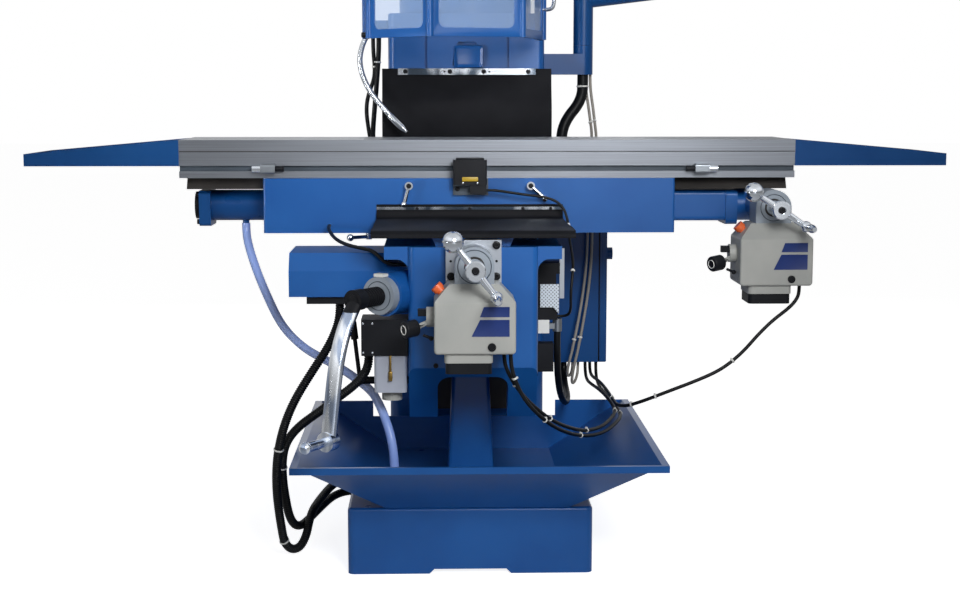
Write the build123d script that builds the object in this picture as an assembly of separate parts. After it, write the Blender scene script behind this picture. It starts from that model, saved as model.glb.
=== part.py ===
import os
from math import cos, radians, sin, sqrt, tan
from build123d import *

# Turret milling machine in millimetres: X along the table, -Y towards the operator, +Z up.
# The origin is on the floor, under the middle of the column's width.

# Clearances
slide_gap = 0.4          # between sliding ways
turn_gap = 0.3           # around shafts that turn

# Base casting
base_width = 516
base_x = -5
base_front = -475
base_back = 500
base_height = 142
base_wall = 30
base_corner = 14
notch_width = 152
notch_height = 10

# Chip tray: a folded hopper that stands on the base
tray_rim_width = 760
tray_x = 11
tray_front = -635
tray_back = 80
tray_rim_z = 266
tray_floor_width = 385
tray_sheet = 5
tray_lip = 10
tray_lip_height = 14
tray_notch_z = 228
tray_notch_left = -229
tray_notch_right = 213

# Column with its dovetail ways and head
column_half = 190
column_front = 160
column_back = 490
column_top = 1196
column_wall = 32
column_corner = 30
way_front = 125
way_half = 112
way_undercut = 20
way_foot = 236
head_foot = 1040
head_half = 186
groove_x = 98
groove_width = 6
pocket_width = 72
pocket_height = 56
strip_half = 165
strip_height = 15
strip_thick = 4
rear_apron_half = 203
rear_apron_foot = 836
apron_thick = 4

# Elevating pedestal and screw
lift_y = -250
pedestal_foot = 104
pedestal_head = 80
pedestal_top = 400
lift_screw_radius = 20
lift_screw_foot = 190

# Knee casting
knee_half = 132
knee_front = -535
knee_top = 697
knee_chin_z = 450
knee_toe_y = -440
knee_foot = 330
knee_wall = 26
knee_cheek_half = 172
knee_cheek_front = 62
cheek_rise = 86          # of the cheeks' foot above the knee's
flange_half = 181
flange_thick = 26
flange_fillet = 24
arch_half = 73
arch_top = 428
arch_radius = 26
guide_half = 84
guide_flare = 8
guide_height = 18

# Saddle
saddle_half = 458
saddle_front = -195
saddle_back = 80
saddle_height = 122

# Table
table_length = 1372
table_x = 42
table_front = -185
table_width = 254
table_height = 84.5
edge_band = 25
edge_step = 2
dog_slot_height = 12
dog_slot_depth = 12
dog_slot_z = 15
tail_half = 84
tail_flare = 15
tail_depth = 26
tail_short = 12
tee_pitch = 65
tee_neck = 16
tee_neck_depth = 16
tee_width = 28
tee_height = 12
wing_length = 341
wing_depth = 58
wing_tip = 27
wing_sheet = 4

# X screw, its bearing housings and the right-angle gearbox
x_screw_y = -80
x_screw_z = 753
x_screw_radius = 16
x_nut_half = 27
x_nut_length = 80
bearing_radius = 35
bearing_length = 126
flange_plate = 26
flange_side = 96
end_cap = 12
x_feed_x = 666
x_feed_plane = -190
gearbox_radius = 35

# Y screw
y_screw_z = 668
y_screw_radius = 14
y_nut_half = 27
y_nut_length = 80

# Power feed units, the same on both screws; sizes are from the hub's axis and mounting face
hub_radius = 39
hub_depth = 76
feed_width = 160
feed_depth = 118
feed_top = -34
feed_shoulder = -66
feed_bottom = -168
feed_crown = 100
feed_hip_land = 3        # flat left in front of the hub by the sloping front
feed_foot_shift = 12     # of the motor's foot to the left of the hub
feed_neck_width = 95
feed_neck = 18
feed_cap = 22
feed_round = 8
lever_disc_radius = 20
lever_disc_z = -101
lever_disc_y = 58
speed_knob_radius = 17
speed_knob_length = 30
button_radius = 9
button_head = 12
button_travel = 4
button_stem = 6
toggle_z = -142
toggle_radius = 5

# Ball cranks of the feeds
shaft_radius = 11
crank_reach = 86
crank_hub_radius = 20
crank_hub_length = 30
crank_arm_radius = 8
big_ball_radius = 21
small_ball_radius = 12
ball_out = 70
grip_out = 66
grip_length = 80
crank_lean = 52          # degrees from level, of the cross crank
x_crank_lean = 33        # of the table's crank
socket_radius = 9
socket_depth = 6

# Lift crank on the knee's left shoulder
lift_turn = 33           # degrees of its axis from straight ahead
lift_z = 600
dial_out = 333
dial_radius = 38.5
dial_thick = 20
boss_radius = 44
sleeve_radius = 17
sleeve_length = 60
lift_hub_radius = 21
lift_hub_length = 28
lift_arm_drop = 267
lift_arm_out = 98
lift_arm_width = 34
lift_grip_length = 62
lift_grip_radius = 12

# Lift drive cover, lubricator and switches on the knee
cover_left = -382
cover_front = -440
cover_back = -255
cover_foot = 585
cover_fold = 639
cover_top = 675
cover_lean = 24
terminal_height = 16
cable_mouth = 60
cable_mouth_wall = 4
pump_left = -229
pump_front = -520
pump_back = -436
pump_foot = 473
pump_top = 548
tank_left = -203
tank_foot = 396
cup_radius = 21
cup_height = 20
switch_front = -350
switch_back = -296
switch_plate = 12
switch_top = 645
switch_plate_foot = 400
relay_top = 622
relay_foot = 560
lower_box_foot = 522
white_block_foot = 493
travel_switch_width = 46
relay_width = 38
lower_box_width = 42
white_block_width = 24
vent_drop = 10           # of the perforated cover below the relay box's foot
vent_rise = 40           # and above it
vent_right = 44
vent_bevel = 12
vent_point = 14
gland_out = 43
gland_radius = 10
bar_width = 10
bar_foot = 568
bar_length = 108
lower_switch_foot = 408
lower_switch_height = 62

# Locks, stops and the limit switch
lock_x = 135
lock_z = 803
lock_reach = 42
limit_half = 37
limit_top = 861
limit_split = 806
limit_front = -236
dog_left_x = -446
dog_right_x = 517
dog_length = 70

# Front apron over the knee's ways
front_apron_half = 207
front_apron_edge = -548
front_apron_drop = 18
front_strip_z = 746

# Electrical cabinet on the column's right side
cabinet_depth = 144
cabinet_front = 190
cabinet_back = 480
cabinet_foot = 340
cabinet_top = 880
cabinet_sheet = 5
door_thick = 15
door_gap = 0.3
hinge_radius = 6
hinge_length = 60

# Pendant arm and brackets beside the column
post_x = 287
post_y = 215
post_radius = 24
bracket_foot = 1052
bracket_height = 50
bracket_seam = 70        # from the bracket's foot up to the joint of the post
arm_post = 114           # from that joint up to the arm
lead_block_foot = 1142
lead_block_height = 40
arm_rise = 7             # degrees
arm_length = 420
pendant_width = 230
pendant_depth = 90
pendant_height = 300

# Turret, ram and head
turret_y = 330
ring_radius = 165
ring_height = 46
turret_height = 150
ram_half = 105
ram_height = 150
ram_length = 860
ram_front = 110
spindle_y = -60
nose_z = 1250
quill_radius = 43
quill_drop = 170
head_foot_z = 1385
head_radius = 105
head_height = 330
head_back_foot = 20
head_back_top = 210
belt_reach = 190
belt_round = 60
faceplate = 50
tilt_z = 1484
tilt_radius = 94
motor_radius = 92
motor_height = 250
belt_height = 105
spindle_radius = 30
bore_radius = 12.06
bore_length = 80
mouth_radius = 15.9
mouth_length = 20
lever_reach = 150
lever_height = 200

# Spindle guard around the nose
guard_foot = 1128
guard_height = 240
guard_front_half = 103
guard_depth = 186
guard_side_half = 201
guard_rail = 16
guard_sheet = 4
guard_turn = 13.5          # degrees
guard_x = -30

# Cords: routes are points chosen by hand
conduit_diameter = 19
lead_diameter = 8
limit_lead_diameter = 6
knee_hose_diameter = 15
drain_diameter = 19
pendant_hose_diameter = 27
column_lead_diameter = 12
thin_column_lead_diameter = 10
grey_lead_diameter = 7
gooseneck_diameter = 13

conduit_long_route = [(-278, -405, 569), (-278, -405, 547), (-284, -410, 517), (-303, -417, 475),
                      (-337, -425, 425), (-374, -430, 366), (-397, -428, 312), (-412, -414, 254),
                      (-418, -400, 204), (-419, -387, 155), (-416, -374, 108), (-412, -364, 70),
                      (-408, -354, 36), (-394, -336, 14), (-376, -314, 14), (-364, -294, 36),
                      (-360, -270, 60), (-355, -238, 76), (-347, -196, 83), (-338, -140, 86),
                      (-326, -80, 90), (-309, -36, 95), (-286, -12, 98), (-263, -12, 98)]
conduit_short_route = [(-216, -450, 473), (-216, -450, 452), (-223, -448, 427), (-243, -443, 402),
                       (-278, -434, 374), (-324, -422, 338), (-369, -408, 304), (-397, -395, 268),
                       (-407, -380, 226), (-408, -364, 178), (-404, -348, 132), (-399, -332, 92),
                       (-391, -308, 64), (-380, -276, 51), (-368, -238, 52), (-355, -192, 57),
                       (-341, -138, 61), (-327, -84, 64), (-310, -44, 66), (-287, -22, 67), (-263, -22, 67)]
drain_top = 712
drain_upper_route = [(-510, x_screw_y, drain_top), (-510, x_screw_y, 696), (-507, -90, 674),
                     (-495, -112, 638),
                     (-475, -138, 590), (-450, -168, 541), (-430, -195, 507), (-405, -226, 478),
                     (-362, -272, 448), (-312, -317, 430), (-270, -356, 414), (-238, -386, 396)]
drain_lower_route = [(-238, -386, 396), (-214, -408.5, 382.5), (-198, -430, 360), (-184, -448, 332),
                     (-172, -464, 298), (-166, -472, 265), (-164, -474, 238), (-163, -475, 215)]
feed_lead_a = [(60, -602, 500), (60, -602, 484), (62, -605, 467), (70, -608, 448), (86, -605, 420),
               (108, -592, 392), (140, -566, 360), (172, -528, 333), (206, -470, 310),
               (236, -420, 294), (264, -375, 287), (296, -315, 286), (316, -250, 289)]
feed_lead_b = [(72, -624, 500), (72, -624, 483), (74, -626, 464), (81, -627, 440), (95, -620, 408),
               (116, -602, 378), (146, -572, 346), (176, -530, 320), (210, -470, 297),
               (242, -418, 282), (272, -371, 275), (304, -312, 274), (326, -250, 277)]
table_feed_lead = [(727, -262, 589), (727, -262, 572), (723, -263, 556), (706, -265, 536),
                   (668, -268, 508), (634, -272, 475), (607, -275, 444), (575, -277, 415),
                   (541, -278, 393), (487, -277, 370), (454, -274, 357), (421, -269, 343),
                   (390, -260, 329), (366, -247, 318), (350, -229, 310), (342, -205, 306)]
cabinet_lead_a = [(316, -250, 289), (329, -207.75, 290.95), (331, -150, 294), (324, -60, 300),
                  (312, 30, 303),
                  (304, 100, 300), (300, 160, 298), (299, 196, 303), (299, 214, 315), (299, 220, 328),
                  (299, 220, 340)]
cabinet_lead_b = [(326, -250, 277), (339.2, -212.8, 278.8), (346, -150, 281), (341, -60, 285),
                  (334, 30, 288),
                  (329, 100, 287), (327, 160, 288), (326, 196, 296), (326, 214, 311), (326, 220, 327),
                  (326, 220, 340)]
cabinet_lead_c = [(342, -205, 306), (334.8, -183.4, 302.4), (331, -140, 306), (326, -60, 313),
                  (320, 30, 316),
                  (314, 100, 314), (312, 160, 309), (312, 204, 308), (312, 226, 315), (312, 234, 327),
                  (312, 234, 340)]
knee_hose_route = [(187, -322, 494), (187, -322, 472), (188, -316, 440), (190, -298, 402), (196, -262, 362),
                   (206, -205, 326), (220, -120, 298), (232, -40, 285), (240, 40, 280), (244, 100, 278),
                   (246, 152, 279), (246, 194, 288), (246, 220, 306), (246, 229, 325), (246, 229, 340)]
limit_lead_route = [(36, -225, 794), (54, -225, 794), (82, -226, 790), (122, -227, 784), (160, -228, 780),
                    (188, -229, 772), (206, -231, 756), (214, -236, 734), (217, -250, 710),
                    (217, -272, 688), (218, -300, 672), (219, -326, 656), (219, -344, 636),
                    (216, -355, 612), (213, -360, 588), (213, -359, 566), (214, -351, 547),
                    (211, -340, 533), (200, -333, 528), (186, -333, 528)]
lift_lead_route = [(-312, -195, 714), (-312, -212, 714), (-311, -236, 712), (-305, -272, 704),
                   (-289, -318, 693),
                   (-262, -366, 686), (-230, -404, 683), (-208, -424, 680), (-193, -436, 668),
                   (-180, -440, 657),
                   (-165, -438, 652.5), (-148, -435, 652), (-133.8, -435, 652)]
pendant_hose_route = [(287, 215, 1052), (287, 215, 1030), (286, 215, 1003), (274, 214.5, 976),
                      (254, 214, 952),
                      (241, 213, 928), (235, 212, 902), (235, 212, 880)]
grey_lead_routes = [[(306, 222, 1052), (306, 222, 1034), (308, 223, 1008), (314, 223, 970), (318, 219, 934),
                     (320, 203, 908), (319, 187, 886), (316, 179, 856), (313, 175, 812), (310, 172, 750),
                     (308.5, 170, 680), (308, 168, 610), (303, 164, 545), (294, 160, 482), (284, 154, 424),
                     (273, 148, 372), (263, 147, 328), (260, 156, 300), (264, 175, 288), (272, 197, 290),
                     (279, 213, 304), (281, 219, 322), (281, 219, 340)],
                    [(296, 235, 1052), (296, 235, 1034), (298, 236, 1008), (304, 236, 972), (308, 232, 940),
                     (310, 217, 916), (309, 199, 900), (306, 183, 880), (303, 174, 846), (300, 170, 800),
                     (298, 168, 742), (297, 166, 676), (296, 164, 608), (290, 160, 544), (281, 155, 482),
                     (270, 149, 424), (259, 143, 374), (250, 141, 340), (248, 150, 318), (253, 170, 308),
                     (260, 192, 308), (265, 209, 315), (267, 217, 327), (267, 217, 340)]]
column_lead_route = [(-213.5, 214, 1142), (-213.5, 214, 1120), (-215, 214, 1090), (-217.5, 214, 1054),
                     (-221, 214, 1010), (-226, 215, 960), (-230, 216, 910), (-230, 217, 866),
                     (-222, 218, 844),
                     (-207, 218, 833), (-190, 218, 833)]
thin_column_lead_route = [(-228, 232, 1142), (-228, 232, 1122), (-227, 232, 1098), (-224.5, 232, 1070),
                          (-226, 232, 1042),
                          (-236, 232, 1016), (-244, 232, 990), (-246, 232, 962), (-243, 232, 932),
                          (-238, 233, 900),
                          (-233, 234, 872), (-224, 235, 850), (-208, 236, 838), (-190, 236, 838)]
gooseneck_route = [(-226, 191, 1160), (-226, 172, 1160), (-232, 152, 1154), (-244, 136, 1136),
                   (-253, 124, 1110),
                   (-256.5, 112, 1082), (-249, 98, 1046), (-229, 84, 1007), (-202.5, 72, 976),
                   (-174, 58.5, 945.5),
                   (-148, 48, 920)]

table_mid_y = table_front + table_width / 2
table_foot = knee_top + saddle_height + slide_gap
table_top = table_foot + table_height
saddle_top = knee_top + saddle_height
lift_axis = Vector(-sin(radians(lift_turn)), -cos(radians(lift_turn)), 0)
lift_side = Vector(cos(radians(lift_turn)), -sin(radians(lift_turn)), 0)


def block(x0, x1, y0, y1, z0, z1):
    return Pos((x0 + x1) / 2, (y0 + y1) / 2, (z0 + z1) / 2) * Box(x1 - x0, y1 - y0, z1 - z0)


def rod(start, end, radius):
    start, end = Vector(start), Vector(end)
    length = (end - start).length
    plane = Plane(origin=start, z_dir=end - start)
    return plane * Cylinder(radius, length, align=(Align.CENTER, Align.CENTER, Align.MIN))


def rod_x(radius, x0, x1, y, z):
    return rod((x0, y, z), (x1, y, z), radius)


def rod_y(radius, y0, y1, x, z):
    return rod((x, y0, z), (x, y1, z), radius)


def rod_z(radius, z0, z1, x, y):
    return rod((x, y, z0), (x, y, z1), radius)


def slab_x(points, x0, x1):
    # Outline in (y, z), pulled along X
    face = make_face(Polyline([(x0, y, z) for y, z in points], close=True))
    return extrude(face, amount=x1 - x0, dir=(1, 0, 0))


def slab_y(points, y0, y1):
    # Outline in (x, z), pulled along Y
    face = make_face(Polyline([(x, y0, z) for x, z in points], close=True))
    return extrude(face, amount=y1 - y0, dir=(0, 1, 0))


def slab_z(points, z0, z1):
    # Outline in (x, y), pulled along Z
    face = make_face(Polyline([(x, y, z0) for x, y in points], close=True))
    return extrude(face, amount=z1 - z0, dir=(0, 0, 1))


def ball(radius, centre):
    return Pos(*centre) * Sphere(radius)


def upright_edges(part):
    return part.edges().filter_by(Axis.Z)


def bend_radius(before, corner, after):
    run_in, run_out = corner - before, after - corner
    turn = radians(run_in.get_angle(run_out))
    return 0.45 * min(run_in.length, run_out.length) / tan(turn / 2)


def cord(name, route, diameter):
    points = [Vector(*p) for p in route]
    radii = [bend_radius(*points[i - 1:i + 2]) for i in range(1, len(points) - 1)]
    path = FilletPolyline(*points, radius=radii)
    ring = Plane(origin=path @ 0, z_dir=path % 0) * Circle(diameter / 2)
    tube = sweep(ring, path=path)
    share = tube.volume / (path.length * 3.14159265 * diameter ** 2 / 4)
    print(f"{name}: length {path.length:.0f} mm, tightest bend {min(radii):.0f} mm, volume share {share:.3f}")
    return tube


# The machine's fixed structure

def make_base():
    left, right = base_x - base_width / 2, base_x + base_width / 2
    body = block(left, right, base_front, base_back, 0, base_height)
    body = fillet(upright_edges(body), base_corner)
    body = fillet(body.faces().sort_by(Axis.Z)[-1].edges(), base_corner / 2)
    hollow = block(left + base_wall, right - base_wall, base_front + base_wall, base_back - base_wall,
                   0, base_height - base_wall)
    notch = notch_width / 2
    gap = slab_y([(base_x - notch - notch_height, 0), (base_x - notch, notch_height),
                  (base_x + notch, notch_height),
                  (base_x + notch + notch_height, 0)], base_front, base_front + base_wall)
    body -= hollow + gap
    body += block(left + base_wall, right - base_wall, -base_wall / 2, base_wall / 2, 0,
                  base_height - base_wall)
    return body - rod_z(lift_screw_radius + turn_gap, 0, base_height, 0, lift_y)


def tray_ring(inset):
    # Hopper between the floor outline and the rim, drawn in by inset
    floor_half = tray_floor_width / 2 - inset
    rim_half = tray_rim_width / 2 - tray_lip - inset
    front = tray_front + tray_lip / 3 + inset
    mid_floor = (base_front + tray_back) / 2
    floor = Pos(tray_x, mid_floor, base_height + inset) * Rectangle(2 * floor_half,
                                                                    tray_back - base_front - 2 * inset)
    rim_y = (front + tray_back - inset) / 2
    rim = Pos(tray_x, rim_y, tray_rim_z) * Rectangle(2 * rim_half, tray_back - inset - front)
    return loft([floor, rim], ruled=True)


def make_tray():
    body = tray_ring(0) - tray_ring(tray_sheet)
    half = tray_rim_width / 2
    lip = block(tray_x - half, tray_x + half, tray_front, tray_back, tray_rim_z - tray_lip_height,
                tray_rim_z)
    body += lip - tray_ring(tray_sheet)
    body -= block(tray_notch_left, tray_notch_right, tray_back - 2 * tray_sheet - tray_lip, tray_back,
                  tray_notch_z, tray_rim_z)
    return body - rod_z(lift_screw_radius + turn_gap, base_height, base_height + tray_sheet, 0, lift_y)


def way_outline(gap):
    # Dovetail of the column's ways, wide at the front, opened by gap for the knee's groove
    narrow, wide = way_half - way_undercut + gap, way_half + gap
    return [(-narrow, column_front), (-wide, way_front - gap), (wide, way_front - gap),
            (narrow, column_front)]


def make_column():
    body = block(-column_half, column_half, column_front, column_back, base_height, column_top)
    body = fillet(upright_edges(body), column_corner)
    body -= block(-column_half + column_wall, column_half - column_wall, column_front + column_wall,
                  column_back - column_wall, base_height, column_top - 2 * column_wall)
    body += slab_z(way_outline(0), way_foot, head_foot)
    head = block(-head_half, head_half, way_front, column_front + column_corner, head_foot, column_top)
    body += fillet(upright_edges(head).sort_by(Axis.Y)[:2], column_corner / 2)
    for side in (-1, 1):
        x = side * groove_x
        body -= block(x - groove_width / 2, x + groove_width / 2, way_front, way_front + groove_width,
                      head_foot, column_top)
    half = pocket_width / 2
    foot = head_foot + strip_height * 2.2
    pocket = slab_y([(-half, foot), (-half * 0.6, foot + pocket_height), (half * 0.6, foot + pocket_height),
                     (half, foot)], way_front, way_front + groove_width * 2)
    return body - fillet(pocket.edges().filter_by(Axis.Y).group_by(Axis.Z)[-1], groove_width)


def make_rear_strip():
    y = way_front - apron_thick
    foot = head_foot + strip_height * 0.7
    return block(-strip_half, strip_half, y - strip_thick, y, foot, foot + strip_height)


def make_rear_apron():
    # Rubber sheet clamped behind the strip, bulging forward a little, down behind the table
    y = way_front
    foot = head_foot + strip_height * 0.7
    bulge = y - 20
    hang = Spline([(0, y, foot), (0, bulge, foot - 74), (0, bulge + 6, rear_apron_foot)],
                  tangents=[(0, 0, -1), (0, 0, -1)])
    line = Line((0, y, foot + strip_height), (0, y, foot)) + hang
    shift = Vector(0, -apron_thick, 0)
    top, end = Vector(0, y, foot + strip_height), hang @ 1
    edges = line + Line(end, end + shift) + line.moved(Location(shift)) + Line(top, top + shift)
    return extrude(make_face(edges), amount=rear_apron_half, dir=(1, 0, 0), both=True)


def make_pedestal():
    foot = Pos(0, lift_y, base_height + tray_sheet) * Rectangle(pedestal_foot, pedestal_foot)
    head = Pos(0, lift_y, pedestal_top) * Rectangle(pedestal_head, pedestal_head)
    body = loft([foot, head], ruled=True)
    body = fillet(body.edges().filter_by(lambda e: abs(e.tangent_at(0).Z) > 0.5), pedestal_head / 10)
    return body - rod_z(lift_screw_radius + turn_gap, base_height, pedestal_top, 0, lift_y)


def make_cabinet():
    x0, x1 = column_half, column_half + cabinet_depth
    box = block(x0, x1, cabinet_front, cabinet_back, cabinet_foot, cabinet_top)
    s = cabinet_sheet
    return box - block(x0 + s, x1, cabinet_front + s, cabinet_back - s, cabinet_foot + s, cabinet_top - s)


def make_cabinet_door():
    x0 = column_half + cabinet_depth + door_gap
    door = block(x0, x0 + door_thick, cabinet_front, cabinet_back, cabinet_foot, cabinet_top)
    door = fillet(door.faces().sort_by(Axis.X)[-1].edges(), door_thick / 4)
    knob_z = (cabinet_foot + cabinet_top) / 2
    for z in (cabinet_foot + hinge_length, cabinet_top - 2 * hinge_length):
        door += rod_z(hinge_radius, z, z + hinge_length, x0 + door_thick, cabinet_back)
    knob = rod_x(door_thick, x0 + door_thick, x0 + 2 * door_thick, cabinet_front + 2 * door_thick, knob_z)
    return [door, knob]


def make_brackets():
    arm = block(column_half, post_x, post_y - post_radius, post_y + post_radius, bracket_foot,
                bracket_foot + bracket_height)
    arm += rod_z(post_radius, bracket_foot, bracket_foot + bracket_seam, post_x, post_y)
    side = column_half + 2 * post_radius
    lead_block = block(-side, -column_half, post_y - post_radius, post_y + post_radius, lead_block_foot,
                       lead_block_foot + lead_block_height)
    return [arm, fillet(upright_edges(lead_block), post_radius / 5)]


def make_pendant_arm():
    seam = bracket_foot + bracket_seam
    top = seam + arm_post
    post = rod_z(post_radius, seam + turn_gap, top, post_x, post_y) + ball(post_radius,
                                                                           (post_x, post_y, top))
    rise = radians(arm_rise)
    end = Vector(post_x, post_y, top) + Vector(cos(rise), 0, sin(rise)) * arm_length
    tube = post + rod((post_x, post_y, top), end, post_radius)
    x0 = end.X - post_radius
    console = block(x0, x0 + pendant_width, post_y - pendant_depth / 2, post_y + pendant_depth / 2,
                    end.Z - post_radius, end.Z - post_radius + pendant_height)
    console = fillet(console.edges().filter_by(Axis.Y), 12)
    return tube + console


# Knee and what it carries

def make_knee():
    side = [(knee_front, knee_top), (knee_front, knee_chin_z), (knee_toe_y, knee_foot),
            (knee_cheek_front, knee_foot),
            (knee_cheek_front, knee_top)]
    body = slab_x(side, -knee_half, knee_half)
    body = fillet(body.edges().filter_by(Axis.Z).sort_by(Axis.Y)[:2], 14)
    rear = column_front - slide_gap
    body += block(-knee_cheek_half, knee_cheek_half, knee_cheek_front, rear, knee_foot + cheek_rise, knee_top)
    wide, thick, r = flange_half, flange_thick, flange_fillet
    flange = block(-wide, wide, knee_front + 15, rear, knee_top - thick, knee_top)
    corner = block(-knee_half - r, knee_half + r, knee_front + 15, knee_cheek_front, knee_top - thick - r,
                   knee_top - thick)
    for s in (-1, 1):
        corner -= rod_y(r, knee_front, knee_cheek_front, s * (knee_half + r), knee_top - thick - r)
    body += flange + corner
    boss_start = Vector(0, lift_y, lift_z) + lift_axis * 150
    boss_end = Vector(0, lift_y, lift_z) + lift_axis * dial_out
    body += rod(boss_start, boss_end, boss_radius)
    # Ways for the saddle, and the open channel of the cross screw
    narrow, wide = guide_half - guide_flare, guide_half
    body += slab_y([(-narrow, knee_top), (-wide, knee_top + guide_height), (wide, knee_top + guide_height),
                    (narrow, knee_top)], knee_front + 25, rear)
    slot = y_nut_half + 5
    body -= block(-slot, slot, knee_front + knee_wall + 20, knee_cheek_front, y_screw_z - y_nut_half - 5,
                  knee_top + guide_height)
    body -= rod_y(shaft_radius + turn_gap, knee_front, knee_front + knee_wall + 20, 0, y_screw_z)
    # Hollow underside with an arch in the front wall, and the bore of the lift screw
    inner = knee_half - knee_wall
    ceiling = y_screw_z - y_nut_half - 5 - knee_wall
    front, back = knee_front + 2 * knee_wall, knee_cheek_front - knee_wall
    body -= slab_x([(front, ceiling), (front, knee_chin_z + knee_wall),
                    (knee_toe_y + 1.4 * knee_wall, knee_foot),
                    (back, knee_foot), (back, ceiling)], -inner, inner)
    arch = block(-arch_half, arch_half, knee_front, knee_cheek_front - 2 * knee_wall, knee_foot, arch_top)
    body -= fillet(arch.edges().filter_by(Axis.Y).group_by(Axis.Z)[-1], arch_radius)
    body -= slab_z(way_outline(slide_gap), knee_foot, knee_top + guide_height)
    return body


def make_lift_screw():
    ceiling = y_screw_z - y_nut_half - 5 - knee_wall
    return rod_z(lift_screw_radius, lift_screw_foot, ceiling - turn_gap, 0, lift_y)


def make_lift_dial():
    start = Vector(0, lift_y, lift_z) + lift_axis * dial_out
    dial = rod(start, start + lift_axis * dial_thick, dial_radius)
    dial -= rod(start, start + lift_axis * dial_thick, sleeve_radius * 0.6 + turn_gap)
    plate = Plane(origin=start + Vector(0, 0, dial_radius + 3), x_dir=lift_side, z_dir=lift_axis)
    return [dial, plate * Pos(0, 0, dial_thick / 2) * Box(22, 6, dial_thick)]


def make_lift_crank():
    start = Vector(0, lift_y, lift_z) + lift_axis * (dial_out + dial_thick)
    sleeve_start = start + lift_axis * turn_gap
    sleeve_end = sleeve_start + lift_axis * sleeve_length
    hub_end = sleeve_end + lift_axis * lift_hub_length
    shaft = rod(start - lift_axis * (dial_thick - turn_gap), sleeve_end, sleeve_radius * 0.6)
    body = shaft + rod(sleeve_start, sleeve_end, sleeve_radius) + rod(sleeve_end, hub_end, lift_hub_radius)
    hub_mid = sleeve_end + lift_axis * (lift_hub_length / 2)
    drop = Vector(0, 0, -lift_arm_drop)
    knee_point = hub_mid + lift_axis * (lift_arm_out * 0.75) + drop * 0.3
    end = hub_mid + lift_axis * lift_arm_out + drop
    line = Bezier(hub_mid, knee_point, knee_point + drop * 0.2, end)
    section = Plane(origin=line @ 0, x_dir=lift_side, z_dir=line % 0) * Ellipse(lift_arm_width / 2,
                                                                                lift_arm_width / 3)
    body += sweep(section, path=line)
    body += rod(end - lift_axis * lift_grip_radius, end + lift_axis * lift_grip_radius,
                lift_arm_width * 0.58)
    grip_end = end + lift_axis * (lift_grip_radius + lift_grip_length)
    body += rod(end, grip_end, lift_grip_radius * 0.8) + ball(lift_grip_radius, tuple(grip_end))
    return body


def make_drive_cover():
    outline = [(cover_front, cover_foot), (cover_front, cover_fold), (cover_front + cover_lean, cover_top),
               (cover_back, cover_top), (cover_back, cover_foot)]
    cover = slab_x(outline, cover_left, -knee_half)
    axis_start = Vector(0, lift_y, lift_z)
    cover -= rod(axis_start, axis_start + lift_axis * dial_out, boss_radius + turn_gap)
    flange_foot, corner = knee_top - flange_thick, knee_half + flange_fillet
    cover -= block(-flange_half, -knee_half, cover_front, cover_back, flange_foot, knee_top)
    cover -= block(-corner, -knee_half, cover_front, cover_back, flange_foot - flange_fillet, flange_foot)
    cover -= block(-flange_half + cable_mouth_wall, -corner, cover_front, cover_front + cable_mouth,
                   flange_foot - flange_fillet, flange_foot)
    strip = block(cover_left + 36, -knee_half - 130, cover_front + 10, cover_front + 60,
                  cover_foot - terminal_height,
                  cover_foot)
    return [cover, strip]


def make_lubricator():
    pump = block(pump_left, -knee_half, pump_front, pump_back, pump_foot, pump_top)
    pump = fillet(upright_edges(pump), 4)
    tank = block(tank_left, -knee_half - 4, pump_front + 4, pump_back - 4, tank_foot, pump_foot)
    tank = fillet(tank.edges().filter_by(Axis.Z), 8)
    mid = (pump_front + pump_back) / 2
    cup = rod_z(cup_radius, tank_foot - cup_height, tank_foot, (tank_left - knee_half) / 2, mid)
    return [pump, tank, cup]


def make_knee_switches():
    x0 = knee_half
    x1 = x0 + switch_plate
    front, back = switch_front, switch_back
    plate = block(x0, x1, front + 6, back, switch_plate_foot, switch_top)
    travel_switch = block(x1, x1 + travel_switch_width, front, back - 12, relay_top, switch_top)
    relay_box = block(x1, x1 + relay_width, front, back - 6, relay_foot, relay_top)
    cover_low, cover_high = relay_foot - vent_drop, relay_foot + vent_rise
    cover = slab_y([(x1 + 4, cover_low), (x1 + 4, cover_high), (x1 + vent_right, cover_high),
                    (x1 + vent_right, cover_low - vent_point), (x1 + vent_right - vent_bevel, cover_low)],
                   front - 3, front)
    lower_box = block(x1, x1 + lower_box_width, front + 4, back - 6, lower_box_foot, relay_foot)
    white_block = block(x1, x1 + white_block_width, front + 2, back - 10, white_block_foot, lower_box_foot)
    gland_x, gland_y = x1 + gland_out, front + 28
    gland = rod_z(gland_radius, white_block_foot + 1, lower_box_foot, gland_x, gland_y)
    gland += block(x1 + white_block_width, gland_x, gland_y - 8, gland_y + 8, white_block_foot + 7,
                   white_block_foot + 19)
    scale_bar = block(x1 + travel_switch_width, x1 + travel_switch_width + bar_width, front + 8, front + 14,
                      bar_foot, bar_foot + bar_length)
    lower_switch = block(x1, x1 + 34, front + 8, back - 14, lower_switch_foot,
                         lower_switch_foot + lower_switch_height)
    return [plate, travel_switch, relay_box, cover, lower_box, white_block, gland, scale_bar, lower_switch]


def make_knee_lock():
    y, z = -412, 404
    shaft = rod_x(8, pump_left - 8, -knee_half - turn_gap, y, z)
    tip = (pump_left - 22, y, z + 122)
    arm = rod((pump_left - 8, y, z), tip, 4.5)
    grip = rod((pump_left - 18, y, z + 88), tip, 8)
    return shaft + ball(10, (pump_left - 8, y, z)) + arm + grip + ball(8, tip)


# Power feed units

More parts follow.
